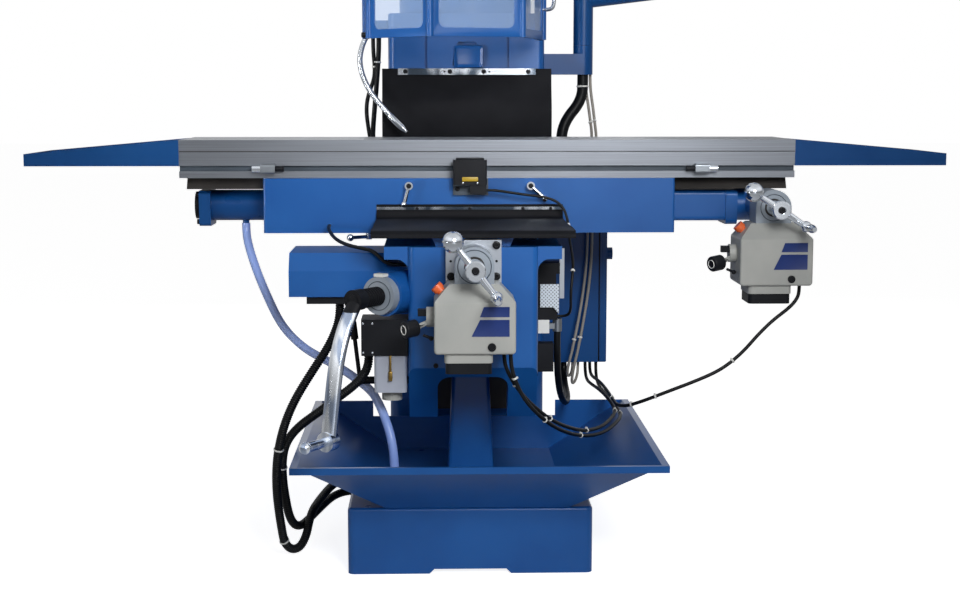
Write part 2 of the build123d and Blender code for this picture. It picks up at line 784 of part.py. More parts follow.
def make_feed_unit(hub):
    # hub is the point where the screw's axis meets the mounting face; the unit faces -Y
    half = feed_width / 2
    outline = [(hub.X - half, hub.Z + feed_bottom), (hub.X - half, hub.Z + feed_shoulder),
               (hub.X - feed_crown / 2, hub.Z + feed_top), (hub.X + feed_crown / 2, hub.Z + feed_top),
               (hub.X + half, hub.Z + feed_shoulder), (hub.X + half, hub.Z + feed_bottom)]
    body = slab_y(outline, hub.Y - feed_depth, hub.Y)
    body = fillet(body.edges().filter_by(Axis.Y), feed_round)
    body = fillet(body.faces().sort_by(Axis.Y)[0].edges(), feed_round * 0.6)
    body -= rod_y(hub_radius + turn_gap, hub.Y - hub_depth, hub.Y, hub.X, hub.Z)
    front_face, crown = hub.Y - feed_depth, hub.Z + feed_top
    hip = [(front_face, hub.Z + feed_shoulder), (hub.Y - hub_depth - feed_hip_land, crown),
           (front_face, crown)]
    body -= slab_x(hip, hub.X - half, hub.X + half)
    seat, out = button_place(hub)
    body -= rod(seat - out * 2 * (button_stem + button_travel), seat + out * button_head,
                button_radius + turn_gap)
    neck_half = feed_neck_width / 2
    foot = hub.Z + feed_bottom
    front, back = hub.Y - feed_depth + 8, hub.Y - 14
    foot_x = hub.X - feed_foot_shift
    neck = block(foot_x - neck_half, foot_x + neck_half, front, back, foot - feed_neck, foot)
    cap = block(foot_x - neck_half + 2, foot_x + neck_half - 2, front + 2, back - 2,
                foot - feed_neck - feed_cap,
                foot - feed_neck)
    return [body, fillet(upright_edges(neck), 10), fillet(upright_edges(cap), 10)]


def make_feed_hub(hub):
    # Grey gear hub with the neck that stands on the feed's body, bored for the crank shaft
    round_hub = rod_y(hub_radius, hub.Y - hub_depth, hub.Y, hub.X, hub.Z)
    neck = block(hub.X - hub_radius, hub.X + hub_radius, hub.Y - hub_depth, hub.Y, hub.Z + feed_top, hub.Z)
    bore = rod_y(shaft_radius + turn_gap, hub.Y - hub_depth, hub.Y, hub.X, hub.Z)
    return round_hub + neck - bore


def make_feed_lever(hub):
    x = hub.X - feed_width / 2
    y, z = hub.Y - lever_disc_y, hub.Z + lever_disc_z
    disc = rod_x(lever_disc_radius, x - 15, x - turn_gap, y, z)
    plug = block(x - 32, x - 15, y - 8, y + 8, z + 2, z + 16)
    knob_start = Vector(x - 34, y - 22, z - 18)
    lean = Vector(-0.8, -0.5, -0.1).normalized()
    arm = rod((x - 8, y - 6, z - 8), knob_start, 5)
    knob = rod(knob_start, knob_start + lean * speed_knob_length, speed_knob_radius)
    return disc + plug + arm + fillet(knob.edges().filter_by(GeomType.CIRCLE), 4)


def button_place(hub):
    # Middle of the left shoulder's slope and the direction square to it
    slope = Vector(feed_top - feed_shoulder, 0, (feed_width - feed_crown) / 2).normalized()
    mid = Vector(hub.X - (feed_width + feed_crown) / 4, hub.Y - feed_depth / 2,
                 hub.Z + (feed_top + feed_shoulder) / 2)
    return mid, Vector(-slope.X, 0, slope.Z)


def make_feed_button(hub):
    mid, out = button_place(hub)
    seat = mid + out * (button_travel + turn_gap)
    return rod(mid - out * button_stem, seat, button_radius) + rod(seat, seat + out * button_head,
                                                                   button_head)


def make_feed_toggle(hub):
    x = hub.X - feed_width / 2 - turn_gap
    y, z = hub.Y - lever_disc_y - 14, hub.Z + toggle_z
    pin = rod_y(toggle_radius / 2, y - toggle_radius - 1, y + toggle_radius + 1, x - toggle_radius, z)
    stick = rod((x - toggle_radius, y, z), (x - 21, y - 2, z + 7), toggle_radius * 0.6)
    return ball(toggle_radius, (x - toggle_radius, y, z)) + pin + stick


def crank_arm():
    # Turned arm along X with a ball at each end, thickest at the hub
    thin, big, small = crank_arm_radius * 0.8, big_ball_radius, small_ball_radius
    small_neck = -grip_out + sqrt(small ** 2 - thin ** 2)
    big_neck = ball_out - sqrt(big ** 2 - thin ** 2)
    line = ThreePointArc((-grip_out - small, 0), (-grip_out, small), (small_neck, thin))
    line += Polyline((small_neck, thin), (-crank_hub_radius, crank_arm_radius),
                     (crank_hub_radius, crank_arm_radius),
                     (big_neck, thin))
    line += ThreePointArc((big_neck, thin), (ball_out, big), (ball_out + big, 0))
    line += Line((ball_out + big, 0), (-grip_out - small, 0))
    return revolve(make_face(line), Axis.X)


def crank_grip():
    # Turned grip along X, swelling towards its rounded end
    shank, swell = crank_arm_radius * 0.6, crank_arm_radius * 1.15
    curve = Spline((grip_length * 0.25, shank), (grip_length * 0.7, swell), (grip_length, shank))
    line = Polyline((0, 0), (0, shank), (grip_length * 0.25, shank)) + curve
    line += Polyline((grip_length, shank), (grip_length, 0), (0, 0))
    return revolve(make_face(line), Axis.X)


def make_ball_crank(hub, shaft_back, lean_angle):
    # Shaft from shaft_back out to the crank's hub, with a counterweight ball and a grip
    front = hub.Y - hub_depth - crank_reach
    back = front + crank_hub_length
    body = rod_y(crank_hub_radius, front, back, hub.X, hub.Z)
    body = chamfer(body.edges().filter_by(GeomType.CIRCLE), 2)
    body += rod_y(shaft_radius, back - crank_hub_length / 2, shaft_back, hub.X, hub.Z)
    lean = radians(lean_angle)
    arm = Vector(-cos(lean), 0, sin(lean))
    mid = Vector(hub.X, (front + back) / 2, hub.Z)
    body += Plane(origin=mid, x_dir=arm, z_dir=(0, 1, 0)) * crank_arm()
    body += Plane(origin=mid - arm * grip_out, x_dir=(0, -1, 0), z_dir=arm) * crank_grip()
    return body - rod_y(socket_radius, front, front + socket_depth, hub.X, hub.Z)


def make_y_mount(hub):
    half = 56
    plate = block(-half, half, hub.Y, knee_front, hub.Z - half + 10, hub.Z + half - 10)
    plate -= rod_y(shaft_radius + turn_gap, hub.Y, knee_front, 0, hub.Z)
    return [plate, make_feed_hub(hub)]


def make_y_crank(hub):
    inner = knee_front + knee_wall + 20
    crank = make_ball_crank(hub, inner + y_screw_radius, crank_lean)
    return crank + rod_y(y_screw_radius, inner + slide_gap, knee_cheek_front - 10, 0, y_screw_z)


# Saddle and what it carries

def make_saddle():
    body = block(-saddle_half, saddle_half, saddle_front, saddle_back, knee_top + slide_gap, saddle_top)
    body = fillet(upright_edges(body), 5)
    narrow, wide = tail_half + slide_gap, tail_half + tail_flare + slide_gap
    floor = table_foot - tail_depth - slide_gap
    body -= slab_x([(table_mid_y - narrow, saddle_top), (table_mid_y - wide, floor),
                    (table_mid_y + wide, floor),
                    (table_mid_y + narrow, saddle_top)], -saddle_half, saddle_half)
    channel = x_nut_half + 6
    body -= block(-saddle_half, saddle_half, x_screw_y - channel, x_screw_y + channel, x_screw_z - channel,
                  floor)
    narrow, wide = guide_half - guide_flare + slide_gap, guide_half + slide_gap
    top = knee_top + guide_height + slide_gap
    body -= slab_y([(-narrow, knee_top), (-wide, top), (wide, top), (narrow, knee_top)], saddle_front,
                   saddle_back)
    y0 = table_mid_y - y_nut_length - 24
    nut = block(-y_nut_half, y_nut_half, y0, y0 + y_nut_length, y_screw_z - y_nut_half, top)
    nut -= rod_y(y_screw_radius + turn_gap, y0, y0 + y_nut_length, 0, y_screw_z)
    return body + nut


def make_left_bearing():
    x0 = -saddle_half - bearing_length
    body = rod_x(bearing_radius, x0, -saddle_half, x_screw_y, x_screw_z)
    half = flange_side / 2
    foot = x_screw_z - bearing_radius - 10
    plate = block(x0 - flange_plate, x0, x_screw_y - half, x_screw_y + half, foot,
                  x_screw_z + bearing_radius)
    body += fillet(plate.edges().filter_by(Axis.X), 10)
    body += rod_z(drain_diameter / 2 - 2, drain_top, x_screw_z, *drain_upper_route[0][:2])
    body -= rod_x(x_screw_radius + turn_gap, x0 - flange_plate, -saddle_half, x_screw_y, x_screw_z)
    cap = rod_x(bearing_radius - 4, x0 - flange_plate - end_cap, x0 - flange_plate, x_screw_y, x_screw_z)
    return [body, cap]


def make_gearbox(hub):
    x0, x1 = saddle_half, saddle_half + bearing_length
    half = flange_side / 2
    top = x_screw_z + bearing_radius
    housing = block(x0, x1, x_screw_y - half, x_screw_y + half, x_screw_z - bearing_radius, top)
    housing = fillet(housing.edges().filter_by(Axis.X), 10)
    foot = x_screw_z - bearing_radius - 8
    plate = block(x1, x1 + flange_plate, x_screw_y - half - 6, x_screw_y + half + 6, foot, top)
    housing += fillet(plate.edges().filter_by(Axis.X), 12)
    housing += rod_x(bearing_radius + 2, x1 + flange_plate, hub.X, x_screw_y, x_screw_z)
    housing += rod_y(gearbox_radius, hub.Y, x_screw_y + gearbox_radius, hub.X, hub.Z)
    housing -= rod_x(x_screw_radius + turn_gap, x0, hub.X - gearbox_radius, x_screw_y, x_screw_z)
    housing -= rod_y(shaft_radius + turn_gap, hub.Y, hub.Y + 40, hub.X, hub.Z)
    return [housing, make_feed_hub(hub)]


def make_x_screw(hub):
    left = -saddle_half - bearing_length - flange_plate
    return rod_x(x_screw_radius, left + slide_gap, hub.X - gearbox_radius - slide_gap, x_screw_y, x_screw_z)


def make_front_strip():
    z = front_strip_z
    return block(-front_apron_half, front_apron_half, saddle_front - strip_thick, saddle_front, z,
                 z + strip_height)


def make_front_apron():
    # Rubber sheet from the strip, over the knee's ways, to its riveted front edge
    y, t = saddle_front - strip_thick, apron_thick
    top = front_strip_z
    rim = top - 12
    outline = [(y, top), (y - 6, rim - t), (front_apron_edge + t, rim - t),
               (front_apron_edge + t, rim - front_apron_drop),
               (front_apron_edge, rim - front_apron_drop), (front_apron_edge, rim), (y - 6 - t, rim + t),
               (y - t, top)]
    return slab_x(outline, -front_apron_half, front_apron_half)


def make_limit_switch():
    plate = block(-limit_half, limit_half + 4, saddle_front - 8, saddle_front, limit_split - 24, saddle_top)
    body = block(-limit_half, limit_half, limit_front, saddle_front - 8, limit_split, limit_top)
    gland = block(0, limit_half - 1, limit_front + 4, limit_front + 18, limit_split - 20, limit_split)
    return [plate, fillet(upright_edges(body), 4) + gland]


def make_table_lock(side, lean):
    # Chrome clamp lever on the saddle's front; lean is its angle from straight down
    x = side * lock_x
    front = saddle_front - 16
    end = Vector(x + lock_reach * sin(radians(lean)), front - 2, lock_z - lock_reach * cos(radians(lean)))
    body = rod_y(9, front - 4, saddle_front - turn_gap, x, lock_z)
    return body + rod((x, front, lock_z), end, 4.5) + ball(7, tuple(end))


def make_saddle_lock():
    x, y = -226, saddle_front + 30
    z = knee_top - 10
    body = rod_z(7, z - 6, knee_top + slide_gap - turn_gap, x, y)
    return body + rod((x, y, z), (x - 40, y - 30, z), 4) + ball(8, (x - 40, y - 30, z))


# Table and what it carries

def make_table():
    x0, x1 = table_x - table_length / 2, table_x + table_length / 2
    front, back = table_front, table_front + table_width
    slot_top = table_foot + dog_slot_z + dog_slot_height
    outline = [(front + edge_step, table_foot), (front + edge_step, table_foot + dog_slot_z),
               (front + dog_slot_depth, table_foot + dog_slot_z), (front + dog_slot_depth, slot_top),
               (front + edge_step, slot_top), (front + edge_step, table_top - edge_band),
               (front, table_top - edge_band),
               (front, table_top), (back, table_top), (back, table_foot)]
    body = slab_x(outline, x0, x1)
    foot = table_foot - tail_depth
    wide = tail_half + tail_flare
    body += slab_x([(table_mid_y - tail_half, table_foot), (table_mid_y - wide, foot),
                    (table_mid_y + wide, foot),
                    (table_mid_y + tail_half, table_foot)], x0 + tail_short, x1 - tail_short)
    for n in (-1, 0, 1):
        y = table_mid_y + n * tee_pitch
        deep = table_top - tee_neck_depth
        body -= block(x0, x1, y - tee_neck / 2, y + tee_neck / 2, deep, table_top)
        body -= block(x0, x1, y - tee_width / 2, y + tee_width / 2, deep - tee_height, deep)
    nut = block(0, x_nut_length, x_screw_y - x_nut_half, x_screw_y + x_nut_half, x_screw_z - x_nut_half,
                foot)
    nut -= rod_x(x_screw_radius + turn_gap, 0, x_nut_length, x_screw_y, x_screw_z)
    return [body, nut]


def make_wing(side):
    # Open sheet tray hooked on the table's end, shallower towards its tip
    root = table_x + side * table_length / 2
    tip = root + side * wing_length
    front, back = table_front, table_front + table_width
    foot = table_top - wing_depth
    s = wing_sheet
    outline = [(root, foot), (root, table_top - 1), (tip, foot + wing_tip), (tip, foot)]
    body = slab_y(outline, front, back)
    inner = [(root, foot + s), (root, table_top), (tip - side * s, table_top), (tip - side * s, foot + s)]
    return body - slab_y(inner, front + s, back - s)


def make_stop_dog(x, side):
    # Body in the table's front slot, with a plunger that points at the limit switch
    z = table_foot + dog_slot_z + dog_slot_height / 2
    front = table_front - 26
    body = block(x - 16, x + 16, front, table_front, z - 10, z + 10)
    body = fillet(body.edges().filter_by(Axis.X), 4)
    body += block(x - 16, x + 16, table_front, table_front + dog_slot_depth - slide_gap, z - 5, z + 5)
    middle = (front + table_front) / 2
    plunger = rod_x(6, *sorted((x, x + side * dog_length / 2)), middle, z)
    knob = rod_x(8, *sorted((x, x - side * dog_length / 2)), middle, z)
    return body + plunger + knob


# Turret, ram and head

def make_turret():
    top = column_top + ring_height
    ring = rod_z(ring_radius, column_top + slide_gap, top, 0, turret_y)
    cap_top = top + turret_height
    body = Solid.make_cone(ring_radius - 8, ram_half + 40, turret_height * 0.6, Plane((0, turret_y, top)))
    cheeks = block(-ram_half - 40, ram_half + 40, turret_y - 130, turret_y + 130,
                   top + turret_height * 0.4, cap_top)
    cheeks = fillet(upright_edges(cheeks), 25)
    groove = slab_y(ram_outline(slide_gap), turret_y - 2 * ring_radius, turret_y + 2 * ring_radius)
    return ring + body + cheeks - groove


def ram_outline(gap):
    top = column_top + ring_height + turret_height
    foot = top - 45
    return [(-ram_half * 0.6 - gap, top + gap), (-ram_half * 0.8 - gap, foot - gap),
            (ram_half * 0.8 + gap, foot - gap), (ram_half * 0.6 + gap, top + gap)]


def make_ram():
    top = column_top + ring_height + turret_height
    body = block(-ram_half, ram_half, ram_front, ram_front + ram_length, top + slide_gap, top + ram_height)
    body = fillet(body.edges().filter_by(Axis.Y).group_by(Axis.Z)[-1], 30)
    body += slab_y(ram_outline(0), ram_front, ram_front + ram_length)
    return body + rod_y(tilt_radius, ram_front - faceplate, ram_front, 0, tilt_z)


def make_head():
    y = spindle_y
    body = rod_z(head_radius, head_foot_z, head_foot_z + head_height, 0, y)
    seam = ram_front - faceplate - slide_gap
    body += block(-head_radius, head_radius, y, seam - faceplate / 2, head_foot_z + head_back_foot,
                  head_foot_z + head_back_top)
    body += rod_y(tilt_radius, y, seam, 0, tilt_z)
    top = head_foot_z + head_height
    belt = slab_z([(-head_radius - 12, y - head_radius - 12), (head_radius + 12, y - head_radius - 12),
                   (head_radius + 12, y + belt_reach), (-head_radius - 12, y + belt_reach)], top,
                   top + belt_height)
    body += fillet(upright_edges(belt), belt_round)
    post_at = guard_points(guard_sheet / 2)[-1]
    body += block(0, post_at[0] + guard_rail, post_at[1] - guard_rail, post_at[1] + guard_rail, head_foot_z,
                  head_foot_z + 1.5 * guard_rail)
    body -= rod_z(guard_rail / 2 + turn_gap, head_foot_z, head_foot_z + 2 * guard_rail, *post_at)
    body -= rod_z(quill_radius + turn_gap, head_foot_z, head_foot_z + head_height, 0, y)
    motor_foot = top + belt_height
    motor = rod_z(motor_radius, motor_foot, motor_foot + motor_height, 0, y + 80)
    motor = fillet(motor.faces().sort_by(Axis.Z)[-1].edges(), 20)
    return [body, motor]


def make_quill():
    body = rod_z(quill_radius, nose_z + 24, nose_z + 24 + quill_drop + head_height * 0.5, 0, spindle_y)
    top = nose_z + 24 + quill_drop + head_height * 0.5
    return body - rod_z(spindle_radius + turn_gap, nose_z + 24, top, 0, spindle_y)


def make_spindle():
    top = nose_z + 24 + quill_drop + head_height * 0.5
    body = rod_z(spindle_radius, nose_z + 20, top, 0, spindle_y)
    body += rod_z(spindle_radius + 4, nose_z, nose_z + 24 - turn_gap, 0, spindle_y)
    mouth = Solid.make_cone(mouth_radius, bore_radius, mouth_length, Plane((0, spindle_y, nose_z)))
    return body - mouth - rod_z(bore_radius, nose_z, nose_z + mouth_length + bore_length, 0, spindle_y)


def make_quill_lever():
    z = head_foot_z + lever_height
    x0 = head_radius + turn_gap
    hub = rod_x(24, x0, x0 + 36, spindle_y, z)
    hub_x = x0 + 26
    tip = (hub_x + 24, spindle_y - lever_reach * 0.8, z + lever_reach * 0.5)
    return hub + rod((hub_x, spindle_y, z), tip, 6) + ball(15, tip)


def guard_points(out):
    # Plan of the guard, a front panel with two panels folded back, moved outwards by out
    f, s, d = guard_front_half, guard_side_half, guard_depth
    points = [(-s - out, 20), (-s - out, -d * 0.1), (-f - out * 0.4, -d - out), (f + out * 0.4, -d - out),
              (s + out, -d * 0.1), (s + out, 20)]
    turn = radians(guard_turn)
    return [(guard_x + x * cos(turn) - y * sin(turn), spindle_y + x * sin(turn) + y * cos(turn))
            for x, y in points]


def guard_wall(inner, outer, z0, z1):
    return slab_z(guard_points(outer) + guard_points(inner)[::-1], z0, z1)


def make_guard_frame():
    # Rails along the foot and top with posts at the corners; the last post turns in the head's bracket
    t = guard_sheet
    top = guard_foot + guard_height
    frame = guard_wall(0, t, guard_foot, guard_foot + guard_rail)
    frame += guard_wall(0, t, top - guard_rail, top)
    corners = guard_points(t / 2)
    for x, y in corners:
        frame += rod_z(guard_rail / 2, guard_foot, top, x, y)
    return frame + rod_z(guard_rail / 2, top, head_foot_z + 2 * guard_rail, *corners[-1])


def make_guard_windows():
    t = guard_sheet
    wall = guard_wall(t * 0.25, t * 0.75, guard_foot + guard_rail, guard_foot + guard_height - guard_rail)
    for x, y in guard_points(t / 2):
        wall -= rod_z(guard_rail / 2, guard_foot, guard_foot + guard_height, x, y)
    return list(wall.solids())


y_hub = Vector(0, knee_front - 25, y_screw_z)
x_hub = Vector(x_feed_x, x_feed_plane, x_screw_z + 4)

nodes = {
    "base": make_base(),
    "chip_tray": make_tray(),
    "column": make_column(),
    "rear_apron_strip": make_rear_strip(),
    "rear_apron": make_rear_apron(),
    "pedestal": make_pedestal(),
    "cabinet": make_cabinet(),
    "cabinet_door": make_cabinet_door(),
    "column_brackets": make_brackets(),
    "pendant_arm": make_pendant_arm(),
    "pendant_hose": cord("pendant_hose", pendant_hose_route, pendant_hose_diameter),
    "column_cables": [cord("column_cable", column_lead_route, column_lead_diameter),
                      cord("thin_column_cable", thin_column_lead_route, thin_column_lead_diameter)]
    + [cord("grey_cable", r, grey_lead_diameter) for r in grey_lead_routes],
    "knee": make_knee(),
    "elevating_screw": make_lift_screw(),
    "z_dial": make_lift_dial(),
    "z_crank": make_lift_crank(),
    "z_drive_cover": make_drive_cover(),
    "lubricator": make_lubricator(),
    "knee_switches": make_knee_switches(),
    "knee_lock_lever": make_knee_lock(),
    "y_feed_mount": make_y_mount(y_hub),
    "y_feed_unit": make_feed_unit(y_hub),
    "y_feed_lever": make_feed_lever(y_hub),
    "y_feed_button": make_feed_button(y_hub),
    "y_feed_toggle": make_feed_toggle(y_hub),
    "y_crank": make_y_crank(y_hub),
    "conduits": [cord("conduit_long", conduit_long_route, conduit_diameter),
                 cord("conduit_short", conduit_short_route, conduit_diameter)],
    "y_feed_cables": [cord("y_feed_cable", r, lead_diameter) for r in (feed_lead_a, feed_lead_b)],
    "cabinet_cables": [cord("cabinet_cable", r, lead_diameter) for r in
                       (cabinet_lead_a, cabinet_lead_b, cabinet_lead_c)]
    + [cord("knee_hose", knee_hose_route, knee_hose_diameter)],
    "drain_hose_lower": cord("drain_hose_lower", drain_lower_route, drain_diameter),
    "saddle": make_saddle(),
    "x_bearing_left": make_left_bearing(),
    "x_gearbox": make_gearbox(x_hub),
    "x_screw": make_x_screw(x_hub),
    "x_feed_unit": make_feed_unit(x_hub),
    "x_feed_lever": make_feed_lever(x_hub),
    "x_feed_button": make_feed_button(x_hub),
    "x_feed_toggle": make_feed_toggle(x_hub),
    "x_crank": make_ball_crank(x_hub, x_feed_plane + 30, x_crank_lean),
    "front_apron_strip": make_front_strip(),
    "front_apron": make_front_apron(),
    "limit_switch": make_limit_switch(),
    "table_lock_left": make_table_lock(-1, -15),
    "table_lock_right": make_table_lock(1, 48),
    "saddle_lock_lever": make_saddle_lock(),
    "saddle_cables": [cord("limit_cable", limit_lead_route, limit_lead_diameter),
                      cord("lift_cable", lift_lead_route, lead_diameter)],
    "x_feed_cable": cord("x_feed_cable", table_feed_lead, lead_diameter),
    "drain_hose_upper": cord("drain_hose_upper", drain_upper_route, drain_diameter),
    "table": make_table(),
    "table_wings": [make_wing(-1), make_wing(1)],
    "stop_dogs": [make_stop_dog(dog_left_x, 1), make_stop_dog(dog_right_x, -1)],
    "turret": make_turret(),
    "ram": make_ram(),
    "head": make_head(),
    "quill": make_quill(),
    "spindle": make_spindle(),
    "quill_lever": make_quill_lever(),
    "guard_frame": make_guard_frame(),
    "guard_windows": make_guard_windows(),
    "gooseneck": cord("gooseneck", gooseneck_route, gooseneck_diameter),
}

os.makedirs("parts", exist_ok=True)
for name, shape in nodes.items():
    if isinstance(shape, list):
        shape = Compound(children=[s for part in shape for s in part.solids()])
    export_step(shape, f"parts/{name}.step")
print(len(nodes), "nodes written")
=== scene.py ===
import math
import bpy
from mathutils import Matrix, Vector


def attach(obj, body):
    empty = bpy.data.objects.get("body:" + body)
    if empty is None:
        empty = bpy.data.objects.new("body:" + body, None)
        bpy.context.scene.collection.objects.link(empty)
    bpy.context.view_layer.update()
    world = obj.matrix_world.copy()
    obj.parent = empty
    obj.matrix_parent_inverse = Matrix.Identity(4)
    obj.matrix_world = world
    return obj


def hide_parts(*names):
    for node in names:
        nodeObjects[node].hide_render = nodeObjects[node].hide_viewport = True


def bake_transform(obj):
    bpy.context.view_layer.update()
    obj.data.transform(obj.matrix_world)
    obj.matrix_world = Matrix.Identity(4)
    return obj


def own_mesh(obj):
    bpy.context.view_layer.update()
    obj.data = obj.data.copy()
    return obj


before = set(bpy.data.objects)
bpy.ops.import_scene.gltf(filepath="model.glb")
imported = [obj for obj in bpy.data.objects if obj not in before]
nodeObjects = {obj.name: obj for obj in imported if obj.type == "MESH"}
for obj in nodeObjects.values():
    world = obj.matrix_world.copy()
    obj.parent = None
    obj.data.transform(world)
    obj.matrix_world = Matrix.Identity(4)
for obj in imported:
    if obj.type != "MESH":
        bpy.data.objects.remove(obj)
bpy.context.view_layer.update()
bpy.context.scene.view_settings.view_transform = "Standard"


def hexColour(code):
    # sRGB hex to the linear values that the shader wants
    parts = [int(code[i:i + 2], 16) / 255 for i in (1, 3, 5)]
    return [p / 12.92 if p <= 0.04045 else ((p + 0.055) / 1.055) ** 2.4 for p in parts] + [1.0]


def addNode(tree, kind, inputs=None, stops=(), **settings):
    # A socket is linked, anything else becomes the input's own value; stops are colour marks: place and linear colour
    made = tree.nodes.new(kind)
    for key, value in settings.items():
        setattr(made, key, value)
    for key, value in (inputs or {}).items():
        if isinstance(value, bpy.types.NodeSocket):
            tree.links.new(value, made.inputs[key])
        else:
            made.inputs[key].default_value = value
    while stops and len(made.color_ramp.elements) < len(stops):
        made.color_ramp.elements.new(0.5)
    for i, (at, colour) in enumerate(stops):
        made.color_ramp.elements[i].position = at
        made.color_ramp.elements[i].color = colour
    return made


def startMaterial(name):
    made = bpy.data.materials.new(name)
    made.use_nodes = True
    tree = made.node_tree
    tree.nodes.clear()
    return made, tree, addNode(tree, "ShaderNodeTexCoord").outputs["Object"]


def finishMaterial(made, inputs):
    tree = made.node_tree
    shader = addNode(tree, "ShaderNodeBsdfPrincipled", inputs)
    addNode(tree, "ShaderNodeOutputMaterial", {"Surface": shader.outputs["BSDF"]})
    return made


# Camera at the photograph's place: 60.3 mm on a 36 mm wide frame, looking a little down
cameraPlace = {"location": (-0.0753, -3.7713, 1.0028), "down": 7.218, "right": 1.572, "lens": 60.31,
               "sensor": 36}
bpy.ops.object.camera_add(location=cameraPlace["location"])
camera = bpy.context.object
camera.rotation_euler = (math.radians(90 - cameraPlace["down"]), 0, math.radians(-cameraPlace["right"]))
camera.data.lens = cameraPlace["lens"]
camera.data.sensor_width = cameraPlace["sensor"]
camera.data.sensor_fit = "HORIZONTAL"
bpy.context.scene.camera = camera

# Soft studio: lamps in front, above and behind, and two broad panels beside the camera that show as sheen
machineMiddle = (0, -0.1, 0.75)  # what a lamp aims at unless it says otherwise
studioLamps = [
    {"name": "frontLamp", "at": (0.5, -2.5, 1.66), "size": 0.8, "power": 7.0, "spread": 66},
    {"name": "leftLamp", "at": (-2.0, -3.0, 2.6), "size": 2.2, "power": 3, "spread": 180},
    {"name": "topLamp", "at": (0.2, 0.0, 4.2), "size": 3.0, "power": 1.5, "spread": 180},
    {"name": "rightPanel", "at": (0.9, -3.9, 0.52), "size": 1.1, "power": 2.8, "spread": 180},
    {"name": "leftPanel", "at": (-0.24, -3.9, 0.52), "size": 1.1, "power": 1.0, "spread": 180},
    {"name": "lowLamp", "at": (-2.2, -1.5, 0.85), "size": 0.5, "power": 1.2, "spread": 30, "aim": (0.1, 0.1, 1.18)},
    {"name": "backLamp", "at": (-0.3, 3.6, 1.7), "size": 2.4, "power": 12, "spread": 180},
]
for lamp in studioLamps:
    bpy.ops.object.light_add(type="AREA", location=lamp["at"])
    made = bpy.context.object
    made.name = lamp["name"]
    made.data.size = lamp["size"]
    made.data.energy = lamp["power"]
    made.data.spread = math.radians(lamp["spread"])
    aim = Vector(lamp.get("aim", machineMiddle)) - Vector(lamp["at"])
    made.rotation_euler = aim.to_track_quat("-Z", "Y").to_euler()

# The sky lights softly, is white to the camera, and shows in gloss as bands from the floor up
studioSky = {"ambient": (0.26, 0.1), "behind": 0.6,
             "bands": [(0.0, 0.22), (0.14, 0.24), (0.36, 0.95), (0.62, 1.1), (1.0, 0.7)]}
world = bpy.data.worlds.new("studio")
bpy.context.scene.world = world
world.use_nodes = True
sky = world.node_tree
sky.nodes.clear()
rays = addNode(sky, "ShaderNodeLightPath").outputs
aim = addNode(sky, "ShaderNodeTexCoord").outputs["Generated"]
heading = addNode(sky, "ShaderNodeSeparateXYZ", {"Vector": aim}).outputs
ambientLow, ambientHigh = studioSky["ambient"]
ambient = addNode(sky, "ShaderNodeMapRange", {"Value": heading["Z"], "To Min": ambientLow, "To Max": ambientHigh})
shine = addNode(sky, "ShaderNodeValToRGB", {"Fac": heading["Z"]},
                [(at, (level, level, level, 1)) for at, level in studioSky["bands"]])
behind = addNode(sky, "ShaderNodeMapRange", {"Value": heading["Y"], "From Min": 0.0, "From Max": 0.5})
mirrored = addNode(sky, "ShaderNodeMix", {"Factor": behind.outputs[0], "A": shine.outputs[0],
                                          "B": studioSky["behind"]})
lit = addNode(sky, "ShaderNodeMix", {"Factor": rays["Is Glossy Ray"], "A": ambient.outputs[0],
                                     "B": mirrored.outputs[0]})
seen = addNode(sky, "ShaderNodeMath", {0: rays["Is Camera Ray"], 1: rays["Is Transmission Ray"]},
               operation="MAXIMUM")
total = addNode(sky, "ShaderNodeMix", {"Factor": seen.outputs[0], "A": lit.outputs[0], "B": 1.0})
backdrop = addNode(sky, "ShaderNodeBackground", {"Color": (1, 1, 1, 1), "Strength": total.outputs[0]})
addNode(sky, "ShaderNodeOutputWorld", {"Surface": backdrop.outputs[0]})

# Pale floor that takes the shadow: it glows white to the camera and a little in gloss
studioFloor = {"size": 60, "height": -0.0005, "colour": "#f2f2f2", "glow": 0.85, "glossGlow": 0.2}
bpy.ops.mesh.primitive_plane_add(size=studioFloor["size"], location=(0, 0, studioFloor["height"]))
floor = bpy.context.object
floor.name = "studioFloor"
floorPaint = bpy.data.materials.new("paleFloor")
floorPaint.use_nodes = True
tree = floorPaint.node_tree
tree.nodes.clear()
matt = addNode(tree, "ShaderNodeBsdfDiffuse", {"Color": hexColour(studioFloor["colour"])})
rays = addNode(tree, "ShaderNodeLightPath").outputs
mirrored = addNode(tree, "ShaderNodeMath", {0: rays["Is Glossy Ray"], 1: studioFloor["glossGlow"]},
                   operation="MULTIPLY")
glow = addNode(tree, "ShaderNodeMath", {0: rays["Is Camera Ray"], 1: studioFloor["glow"], 2: mirrored.outputs[0]},
               operation="MULTIPLY_ADD")
lit = addNode(tree, "ShaderNodeEmission", {"Color": (1, 1, 1, 1), "Strength": glow.outputs[0]})
both = addNode(tree, "ShaderNodeAddShader", {0: matt.outputs[0], 1: lit.outputs[0]})
addNode(tree, "ShaderNodeOutputMaterial", {"Surface": both.outputs[0]})
floor.data.materials.append(floorPaint)
print("camera, lamps and floor are set")


